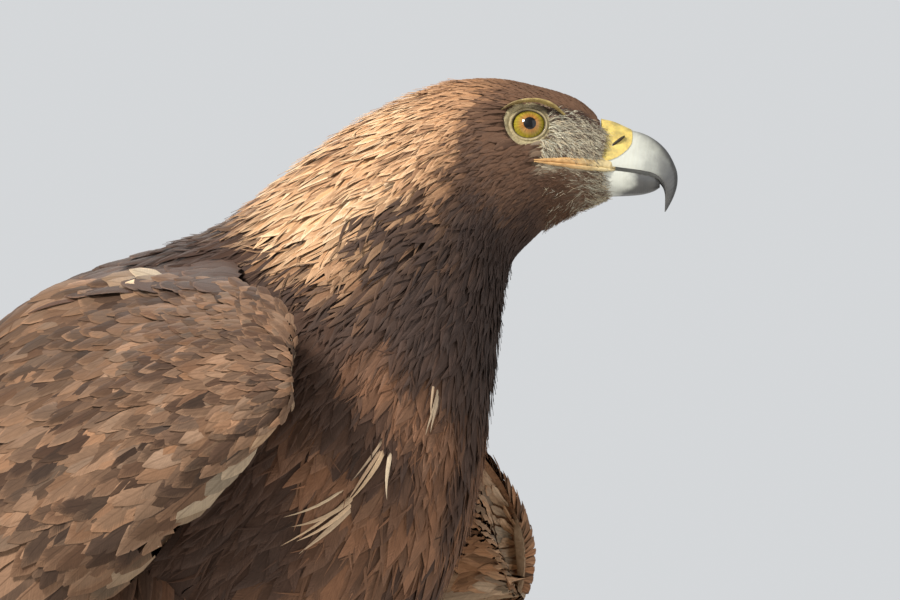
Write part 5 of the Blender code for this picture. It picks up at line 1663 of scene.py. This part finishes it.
class EAGLE_OT_body_feathers(bpy.types.Operator):
    """Makes the feathers of the breast, belly, back and rump"""

    bl_idname = "eagle.body_feathers"
    bl_label = "Body feathers"

    def execute(self, context):
        sizes = context.scene.eagle_sizes
        look = feather_look("plumage_body", 0.6, 0.1, 0.7, 0.0003)
        breast = Feathers(sizes.seed + 3)
        body_feathers("breast_feathers", breast, context, sizes.body_length * 1.1)
        breast.build("breast_feathers", look)
        strands = Feathers(sizes.seed + 4)
        body_feathers("breast_strands", strands, context, sizes.body_length * 0.9)
        strands.build("breast_strands", look)
        self.streaks(context, look)
        back = Feathers(sizes.seed + 5)
        back_look = feather_look("plumage_back", 0.7, 0.5, 0.5, 0.0003)
        body_feathers("back_feathers", back, context, sizes.body_length * 1.1)
        self.mantle(back, context)
        back.build("back_feathers", back_look)
        return {"FINISHED"}

    def streaks(self, context, look):
        """The few long cream feathers of the breast."""
        paint = Paint(context.scene.eagle_colours)
        feathers = Feathers(context.scene.eagle_sizes.seed + 12)
        ground, rng = GROUNDS["body"], feathers.rng
        for u, degrees, reach, count, turn in CREAM_STREAKS:
            for side, _ in SIDES:
                root = np.stack([u + rng.uniform(-0.12, 0.12, count),
                                 side * np.radians(degrees + rng.uniform(-2.5, 2.5, count))], -1)
                spread = side * (turn + rng.normal(0, 0.07, count))
                lengths = reach * rng.uniform(0.75, 1.1, count)
                path = lay(ground, root, lengths, spread, 8, rng.normal(0, 0.35, count))
                lift = stand_off(count, -4.0, 0.8, rng.uniform(1.5, 3.5, count))
                base = blend_colour(paint.cream * 0.8, paint.rufous * 1.5, rng.uniform(0, 0.6, count))
                paints = uneven(rng, base, 0.12), uneven(rng, base), np.full(count, 0.3)
                half = rng.uniform(0.6, 1.3, count)
                feathers.add(ground, path, half, lift, OUTLINES["pointed"], paints, thick=0.25)
        feathers.build("breast_streaks", look)

    def mantle(self, feathers, context):
        """The broad feathers that roof the back from wing to wing."""
        paint = Paint(context.scene.eagle_colours)
        ground, rng = GROUNDS["mantle"], feathers.rng
        wild = context.scene.eagle_sizes.wildness
        root = scatter(ground, 0.0, 0.90, lambda a: 9.0 + 6.0 * a, lambda a: 9.0 + 5.0 * a, -0.98, 0.98, rng, wild)
        count = len(root)
        reach = (34.0 + 52.0 * root[:, 0]) * rng.uniform(0.85, 1.12, count)
        path = lay(ground, root, reach, rng.normal(0, 0.08 * wild, count), 9, rng.normal(0, 0.08, count), last=1.0)
        half = (6.5 + 6.0 * root[:, 0]) * rng.uniform(0.85, 1.15, count)
        edge = 1.2 * np.abs(root[:, 1]) ** 3
        lift = stand_off(count, edge - 3.5, edge - 0.4, edge + rng.uniform(0.8, 2.2, count))
        base, margin, strength = paint.mantle(root[:, 0], root[:, 1], rng)
        paints = uneven(rng, base, 0.2), uneven(rng, margin), strength
        feathers.add(ground, path, half, lift, OUTLINES["covert"], paints, section=6, thick=0.35, camber=0.4)


class EAGLE_OT_wings(bpy.types.Operator):
    """Makes every tier of both folded wings, their small coverts and their linings"""

    bl_idname = "eagle.wings"
    bl_label = "Wings"

    def execute(self, context):
        sizes = context.scene.eagle_sizes
        paint = Paint(context.scene.eagle_colours)
        look = feather_look("plumage_wing", 0.72, 0.6, 0.5, 0.0003, 0.22, bars=0.25)
        small_look = feather_look("plumage_covert", 0.62, 0.3, 0.6, 0.0002, 0.2)
        for side, name in SIDES:
            feathers = Feathers(sizes.seed + 6 + side)
            for line in WING_ROWS:
                self.tier(feathers, GROUNDS["wing_" + name], side, line, paint, sizes)
            feathers.build("wing_feathers_" + name, look, soft=False)
            small = Feathers(sizes.seed + 14 + side)
            self.coverts(small, "wing_" + name, side, paint, sizes, 0.335, (5.0, 4.0), 1.0, 1.2)
            self.coverts(small, "lining_" + name, side, paint, sizes, 0.50, (7.0, 5.5), 1.15, 1.0)
            small.build("wing_coverts_" + name, small_look)
        return {"FINISHED"}

    def tier(self, feathers, ground, side, line, paint, sizes):
        start, tips, count, half, lift, tilt, outline, across, across_tip, slant = line
        rng = feathers.rng
        shares = (np.arange(count) + 0.5) / count
        shares = shares + rng.uniform(-0.22, 0.22, count) * sizes.wildness / count
        t_root = across[0] + (across[1] - across[0]) * shares
        t_tip = across_tip[0] + (across_tip[1] - across_tip[0]) * shares
        drop = slant * (t_root - 0.5)
        s_tip = smooth_path((0, 0.5, 1), tips, shares) + drop
        s_root = start + drop + rng.uniform(-0.006, 0.006, count)
        s_tip = s_root + (s_tip - s_root) * rng.uniform(0.90, 1.03, count)
        t_tip = t_tip + rng.normal(0, 0.014, count) * (outline != "long")
        s_tip = np.minimum(s_tip, 0.998)
        root, tip = np.stack([s_root, t_root], -1), np.stack([s_tip, np.clip(t_tip, 0.01, 0.99)], -1)
        base, margin, strength = paint.wing(s_root + (s_tip - s_root) * 0.6, t_tip, side, rng)
        paints = uneven(rng, base, 0.15), uneven(rng, margin), strength
        halves = half * rng.uniform(0.88, 1.12, count)
        lifts = np.array(lift)[None, :] + rng.normal(0, 0.25, (count, 1))
        feathers.add(ground, straight(root, tip, 14), halves, lifts, OUTLINES[outline], paints, section=6,
                     thick=sizes.vane_thickness / MM, camber=0.5, tilt=tilt, ragged=0.035)

    def coverts(self, feathers, place, side, paint, sizes, last, steps, scale, tip_lift):
        """Small feathers in close rows, which grow longer down the wing."""
        ground, rng = GROUNDS[place], feathers.rng
        root = scatter(ground, 0.004, last + 0.1, lambda s: steps[0] * (0.6 + 4.0 * s),
                       lambda s: steps[1] * (0.6 + 3.4 * s), 0.015, 0.985, rng, sizes.wildness)
        down = root[:, 0] + COVERT_SLANT * (0.5 - root[:, 1]) * fade(root[:, 0], 0.02, 0.15)
        root, down = root[down < last], down[down < last]
        count = len(root)
        table = np.array(COVERTS)
        reach = smooth_path(table[:, 0], table[:, 1], down) * scale * rng.uniform(0.8, 1.15, count)
        half = smooth_path(table[:, 0], table[:, 2], down) * scale * rng.uniform(0.8, 1.15, count)
        path = lay(ground, root, reach, rng.normal(0, 0.10, count), 6, rng.normal(0, 0.12, count))
        path[..., 1] = np.clip(path[..., 1], 0.005, 0.995)
        lift = stand_off(count, -2.6, -0.2, tip_lift * rng.uniform(0.5, 1.7, count))
        lift = lift + (2.4 * fade(down, 0.18, 0.30))[:, None] * np.array([0.3, 0.8, 1.0])
        middle = path[:, 3]
        base, margin, strength = paint.wing(middle[:, 0], middle[:, 1], side, rng)
        if place.startswith("lining"):
            dark = fade(rng.normal(0, 1, count), 0.6, 1.4)
            tan = blend_colour(paint.tawny * [1.35, 1.15, 0.95], paint.covert, dark)
            base = blend_colour(tan, base, fade(root[:, 0], 0.2, 0.4))
            rim = np.maximum(1 - fade(root[:, 0], 0.01, 0.05), 1 - fade(root[:, 1] * (1 - root[:, 1]), 0.02, 0.07))
            base = blend_colour(base, paint.cream * 0.8, 0.5 * rim)
        paints = uneven(rng, base, 0.2), uneven(rng, margin), strength
        feathers.add(ground, path, half, lift, OUTLINES["covert"], paints, thick=0.25, camber=0.25, tilt=0.05,
                     ragged=0.07)


class EAGLE_OT_tail(bpy.types.Operator):
    """Makes the long tail feathers and their coverts"""

    bl_idname = "eagle.tail"
    bl_label = "Tail"

    def execute(self, context):
        sizes = context.scene.eagle_sizes
        paint = Paint(context.scene.eagle_colours)
        feathers = Feathers(sizes.seed + 8)
        self.long_feathers(feathers, paint)
        self.coverts(feathers, paint, sizes)
        look = feather_look("plumage_tail", 0.75, 0.6, 0.4, 0.0003, bars=0.8)
        feathers.build("tail_feathers", look)
        return {"FINISHED"}

    def long_feathers(self, feathers, paint):
        ground = GROUNDS["tail"]
        for k in range(TAIL_PAIRS):
            for side in (-1, 1):
                spread = (k + 0.5) / TAIL_PAIRS
                a = side * spread * 0.72
                level = 5.0 - 2.2 * (k if side < 0 else k + 0.5)
                root, tip = np.array([[0.38, a * 0.8]]), np.array([[1.0 - 0.05 * spread**2, a]])
                base, margin = paint.tail[None, :], (paint.tail * 1.8)[None, :]
                paints = uneven(feathers.rng, base), margin, np.array([0.4])
                feathers.add(ground, straight(root, tip, 20), np.array([16.0]), np.array([[level] * 3]),
                             OUTLINES["long"], paints, section=6, thick=0.6, camber=0.4, ragged=0.015)

    def coverts(self, feathers, paint, sizes):
        ground, rng = GROUNDS["tail_skin"], feathers.rng
        root = scatter(ground, 0.12, 0.72, lambda f: 11.0, lambda f: 10.0, -math.pi, math.pi, rng, sizes.wildness)
        count = len(root)
        reach = 46.0 * rng.uniform(0.85, 1.1, count)
        path = lay(ground, root, reach, rng.normal(0, 0.08, count), 8, last=0.985)
        lift = stand_off(count, -3.0, -0.6, rng.uniform(1.0, 2.4, count))
        base = blend_colour(paint.back * 1.3, paint.rufous * 0.7, fade(np.sin(root[:, 1]), -0.2, 0.6) * 0.5)
        paints = uneven(rng, base), uneven(rng, base * 1.9), np.full(count, 0.6)
        feathers.add(ground, path, 8.0 * rng.uniform(0.85, 1.15, count), lift, OUTLINES["covert"], paints,
                     section=6, thick=0.35)


class EAGLE_OT_legs(bpy.types.Operator):
    """Makes the long feathers of the legs and the short ones of the shanks"""

    bl_idname = "eagle.legs"
    bl_label = "Leg feathers"

    def execute(self, context):
        sizes = context.scene.eagle_sizes
        paint = Paint(context.scene.eagle_colours)
        look = feather_look("plumage_leg", 0.55, 0.3, 0.7, 0.0002)
        for side, name in SIDES:
            feathers = Feathers(sizes.seed + 10 + side)
            leg, shank = GROUNDS["leg_" + name], GROUNDS["tarsus_" + name]
            self.rows(feathers, leg, (0.06, 0.99), (8.0, 6.0), 42.0, 4.0, 4.0, paint.leg, sizes)
            self.rows(feathers, shank, (0.02, 0.96), (4.0, 2.8), 14.0, 1.5, 1.8, paint.tarsus, sizes)
            feathers.build("leg_feathers_" + name, look)
        return {"FINISHED"}

    def rows(self, feathers, ground, ends, steps, reach, half, depth, tint, sizes):
        """Rows of pointed feathers all round a tube."""
        rng = feathers.rng
        root = scatter(ground, *ends, lambda f: steps[0], lambda f: steps[1], -math.pi, math.pi, rng,
                       sizes.wildness)
        count = len(root)
        reach = reach * rng.uniform(0.8, 1.15, count)
        path = lay(ground, root, reach, rng.normal(0, 0.12, count), 5, rng.normal(0, 0.2, count), last=0.998)
        lift = stand_off(count, -depth - 0.6, -0.5 * depth, rng.uniform(0.2, 1.6, count))
        base = np.broadcast_to(tint, (count, 3))
        paints = uneven(rng, base, 0.2), uneven(rng, base * 1.6), np.full(count, 0.5)
        halves = half * rng.uniform(0.8, 1.2, count)
        feathers.add(ground, path, halves, lift, OUTLINES["pointed"], paints, thick=0.25)


class EAGLE_OT_bristles(bpy.types.Operator):
    """Makes the bristles before the eye and round the bill's root"""

    bl_idname = "eagle.bristles"
    bl_label = "Bristles"

    def execute(self, context):
        sizes = context.scene.eagle_sizes
        paint = Paint(context.scene.eagle_colours)
        feathers = Feathers(sizes.seed + 20)
        for side, _ in SIDES:
            for line in LORES:
                self.lores(feathers, side, paint, *line)
            self.chin(feathers, side, paint)
        feathers.build("bristles", feather_look("plumage_bristle", 0.9, 0.0, 0.4, 0.0001))
        return {"FINISHED"}

    def lores(self, feathers, side, paint, count, half, reach, lift, dark):
        """Fans of pale down or bristles from the eye out to the bill."""
        ground, rng = GROUNDS["body"], feathers.rng
        root = np.stack([rng.uniform(-0.25, 2.3, count), side * np.radians(rng.uniform(52, 116, count))], -1)
        forward, _, height = head_place(body_point(root[:, 0], root[:, 1]))
        away = np.hypot(forward - EYE_FORWARD, height - EYE_HEIGHT)
        front = 121.0 + 0.25 * (height - 540)
        keep = (away > 10.5) & (height > 527.5) & (forward > 91) & (forward < front) & (height < 553.5)
        root, forward, height = root[keep], forward[keep], height[keep]
        count = len(root)
        rise = np.arctan2(height - 543.0, forward - 84.0) * 0.95 - 0.12 + rng.normal(0, 0.28, count)
        path = lay(ground, root, rng.uniform(*reach, count), side * (math.pi - rise), 4, rng.normal(0, 0.3, count))
        path = path[~near_eye(path, 9.2)]
        count = len(path)
        top = rng.uniform(*lift, count)
        lifts = stand_off(count, -1.2, 0.3 + 0.5 * top, 0.2 + top)
        high = fade(head_place(body_point(path[:, 0, 0], path[:, 0, 1]))[2], 545, 553)
        dusky = rng.uniform(0, 1, count) < dark + 0.6 * high
        base = np.where(dusky[:, None], paint.throat * 2.2, paint.lore * rng.uniform(0.7, 1.25, (count, 1)))
        paints = uneven(rng, base, 0.2), uneven(rng, base * 1.1), np.full(count, 0.3)
        feathers.add(ground, path, np.full(count, half), lifts, OUTLINES["bristle"], paints, thick=0.16,
                     camber=0.0, bow=rng.normal(0, 0.3, count))

    def chin(self, feathers, side, paint):
        """Thin bristles under the bill and below the mouth's corner, pointing forwards and down."""
        ground, rng = GROUNDS["body"], feathers.rng
        u = rng.uniform(0.0, 2.0, CHIN_BRISTLES) ** 1.2 * 0.9
        root = np.stack([u, side * np.radians(rng.uniform(112, 180, CHIN_BRISTLES))], -1)
        root = root[~on_lips(root, 2.0)]
        count = len(root)
        backwards = rng.uniform(0, 1, count) < fade(root[:, 0], 0.5, 1.3)
        turn = np.where(backwards, rng.normal(0, 0.3, count), side * (math.pi + 0.35) + rng.normal(0, 0.35, count))
        path = lay(ground, root, rng.uniform(2.5, 6.5, count), turn, 4, rng.normal(0, 0.3, count))
        lifts = stand_off(count, -1.2, rng.uniform(0.0, 0.8, count), rng.uniform(0.2, 2.4, count))
        dusky = rng.uniform(0, 1, count) < 0.35 + 0.55 * fade(root[:, 0], 0.4, 1.3)
        base = np.where(dusky[:, None], paint.cheek * 1.2, paint.lore)
        paints = uneven(rng, base, 0.2), uneven(rng, base * 1.1), np.full(count, 0.3)
        feathers.add(ground, path, np.full(count, 0.13), lifts, OUTLINES["bristle"], paints, thick=0.16,
                     camber=0.0, bow=rng.normal(0, 0.5, count))


# Feet

def toe_points(toe, side):
    """The middle line of one toe, from the foot's middle out to the claw's root, in millimetres."""
    _, span, heading, radius, _, _ = toe
    turn = math.radians(heading) * side
    ahead = np.array([math.cos(turn), math.sin(turn), 0.0])
    start = np.array([FOOT_X, side * FOOT_Y, 0.0])
    lift = radius * TOE_SINK
    arch = ((0.0, 15.0), (0.22, 13.0), (0.5, lift + 1.5), (0.8, lift), (1.0, lift + 1.0))
    return [start + ahead * (f * (span + TOE_ROOT)) + np.array([0, 0, h]) for f, h in arch], ahead


class EAGLE_OT_feet(bpy.types.Operator):
    """Makes the toes with their scutes and pads, and the claws"""

    bl_idname = "eagle.feet"
    bl_label = "Feet and claws"

    def execute(self, context):
        colours = context.scene.eagle_colours
        look = grain_look("toe_skin", colours.toe, (0.70, 0.42, 0.08), 420.0, 0.7, 0.0004, 0.45, 0.1, 0.1)
        claw_look = horn_look("claw_horn_dark", colours, "Bill", -0.9, -0.2)
        for side, name in SIDES:
            toes = [to_mesh(self.toe(toe, side), "toe") for toe in TOES]
            foot = fuse("toes_" + name, toes)
            dress("toes_" + name, foot, look, ["foot_" + name])
            for toe in TOES:
                piece = f"talon_{name}_{toe[0]}"
                mesh = to_mesh(self.claw(toe, side), piece)
                dress(piece, mesh, claw_look, [f"claw_{name}_{toe[0]}"])
        return {"FINISHED"}

    def toe(self, toe, side):
        path, _ = toe_points(toe, side)
        swell = np.array(TOE_SWELL) * toe[3]
        surface = tube_surface(path, swell, swell * TOE_FLAT, None, TOE_KNOTS)
        plates = toe[5]

        def point(a, b):
            turn = b * math.tau
            p = surface(a, turn)
            middle = surface(a, np.zeros_like(turn)) * 0.5 + surface(a, np.full_like(turn, math.pi)) * 0.5
            top = fade(np.sin(turn), -0.05, 0.5)
            pad = fade(-np.sin(turn), 0.1, 0.7)
            ramp = (a * plates) % 1.0
            scute = (ramp**0.6) * (1 - fade(ramp, 0.86, 1.0)) * fade(a, 0.12, 0.2)
            bulge = 1 + 0.07 * scute * top + 0.05 * pad * np.abs(np.sin(a * math.pi * 3.5))
            moved = middle + (p - middle) * bulge[..., None]
            moved[..., 2] = np.maximum(moved[..., 2], 0.0)
            return moved

        return lofted(point, rows=10 * plates, around=32)

    def claw(self, toe, side):
        path, ahead = toe_points(toe, side)
        start = path[-1] - ahead * CLAW_SUNK
        turn = np.linspace(0, 1, 7)
        bend = CLAW_BEND * turn
        radius = toe[4] / CLAW_BEND
        forward = radius * (np.sin(bend - CLAW_RISE) + math.sin(CLAW_RISE))
        up = radius * (np.cos(bend - CLAW_RISE) - math.cos(CLAW_RISE))
        points = start + forward[:, None] * ahead + up[:, None] * UP
        points[:, 2] -= (points[-1, 2] - CLAW_CLEAR) * turn**1.5
        thick = toe[3] * 0.62 * (1 - turn) ** 0.7 + 0.35
        surface = tube_surface(points, thick * 0.85, thick, np.cross(UP, ahead))

        def claw_map(a, b):
            return np.stack([b, a], -1)

        return lofted(lambda a, b: surface(a, b * math.tau), claw_map, rows=40, around=24, map_name="Bill")


# The stage

class EAGLE_OT_stage(bpy.types.Operator):
    """Makes the floor, the lights and the camera"""

    bl_idname = "eagle.stage"
    bl_label = "Stage"

    def execute(self, context):
        stage = context.scene.eagle_stage
        target = Vector(stage.target)
        back = Vector((
            math.sin(stage.azimuth) * math.cos(stage.elevation),
            -math.cos(stage.azimuth) * math.cos(stage.elevation),
            math.sin(stage.elevation),
        ))
        camera = bpy.data.objects.new("camera", bpy.data.cameras.new("camera"))
        camera.data.lens = stage.lens
        camera.data.clip_start = 0.05
        camera.location = target + back * stage.distance
        camera.rotation_euler = (-back).to_track_quat("-Z", "Y").to_euler()
        context.scene.collection.objects.link(camera)
        context.scene.camera = camera
        self.floor(context, stage)
        right = back.cross(Vector((0, 0, 1))).normalized() * -1
        flat = Vector((back.x, back.y, 0)).normalized()
        for name, ((near, aside, rise), size, tint) in LAMPS.items():
            offset = flat * near + right * aside + Vector((0, 0, rise))
            self.lamp(context, name, target, offset, size, getattr(stage, name), tint)
        self.world(context, stage)
        return {"FINISHED"}

    def floor(self, context, stage):
        work = bmesh.new()
        bmesh.ops.create_grid(work, x_segments=8, y_segments=8, size=6.0)
        mesh = bpy.data.meshes.new("floor")
        work.to_mesh(mesh)
        work.free()
        floor = bpy.data.objects.new("floor", mesh)
        context.scene.collection.objects.link(floor)
        look = grain_look("floor_matt", stage.floor, [c * 0.93 for c in stage.floor], 12.0, 0.6, 0.0003, 0.7)
        mesh.materials.append(look)

    def lamp(self, context, name, target, offset, size, power, tint):
        data = bpy.data.lights.new(name, "AREA")
        data.energy, data.size, data.color = power, size, tint
        lamp = bpy.data.objects.new(name, data)
        lamp.location = target + offset
        lamp.rotation_euler = (-offset).to_track_quat("-Z", "Y").to_euler()
        context.scene.collection.objects.link(lamp)

    def world(self, context, stage):
        world = bpy.data.worlds.new("surround")
        world.use_nodes = True
        tree = world.node_tree
        shader = tree.nodes["Background"]
        shader.inputs["Color"].default_value = (*stage.sky, 1.0)
        seen = wire(tree, "ShaderNodeLightPath").outputs["Is Camera Ray"]
        strength = rescaled(tree, seen, 0.40, 0.85)
        tree.links.new(strength, shader.inputs["Strength"])
        context.scene.world = world
        context.scene.view_settings.view_transform = "Standard"


class EAGLE_PT_panel(bpy.types.Panel):
    """Lists the settings and the pieces of the eagle"""

    bl_idname = "EAGLE_PT_panel"
    bl_label = "Golden Eagle"
    bl_space_type = "VIEW_3D"
    bl_region_type = "UI"
    bl_category = "Eagle"

    def draw(self, context):
        for group in ("eagle_sizes", "eagle_colours", "eagle_stage"):
            settings = getattr(context.scene, group)
            box = self.layout.box()
            for name in settings.bl_rna.properties.keys():
                if name not in ("rna_type", "name"):
                    box.prop(settings, name)
        for operator in OPERATORS:
            self.layout.operator(operator.bl_idname)


OPERATORS = (
    EAGLE_OT_stage, EAGLE_OT_skin, EAGLE_OT_eyes, EAGLE_OT_lids, EAGLE_OT_bill, EAGLE_OT_head_feathers,
    EAGLE_OT_neck_feathers, EAGLE_OT_body_feathers, EAGLE_OT_wings, EAGLE_OT_tail, EAGLE_OT_legs,
    EAGLE_OT_bristles, EAGLE_OT_feet,
)
SETTINGS = (("eagle_sizes", EagleSizes), ("eagle_colours", EagleColours), ("eagle_stage", EagleStage))


def register():
    for name, settings in SETTINGS:
        bpy.utils.register_class(settings)
        setattr(bpy.types.Scene, name, PointerProperty(type=settings))
    for operator in OPERATORS:
        bpy.utils.register_class(operator)
    bpy.utils.register_class(EAGLE_PT_panel)


def unregister():
    bpy.utils.unregister_class(EAGLE_PT_panel)
    for operator in reversed(OPERATORS):
        bpy.utils.unregister_class(operator)
    for name, settings in reversed(SETTINGS):
        delattr(bpy.types.Scene, name)
        bpy.utils.unregister_class(settings)


def main():
    register()
    for old in [o for o in bpy.data.objects if o.type in ("LIGHT", "CAMERA")]:
        bpy.data.objects.remove(old)
    for operator in OPERATORS:
        group, name = operator.bl_idname.split(".")
        getattr(getattr(bpy.ops, group), name)()


if __name__ == "__main__":
    main()
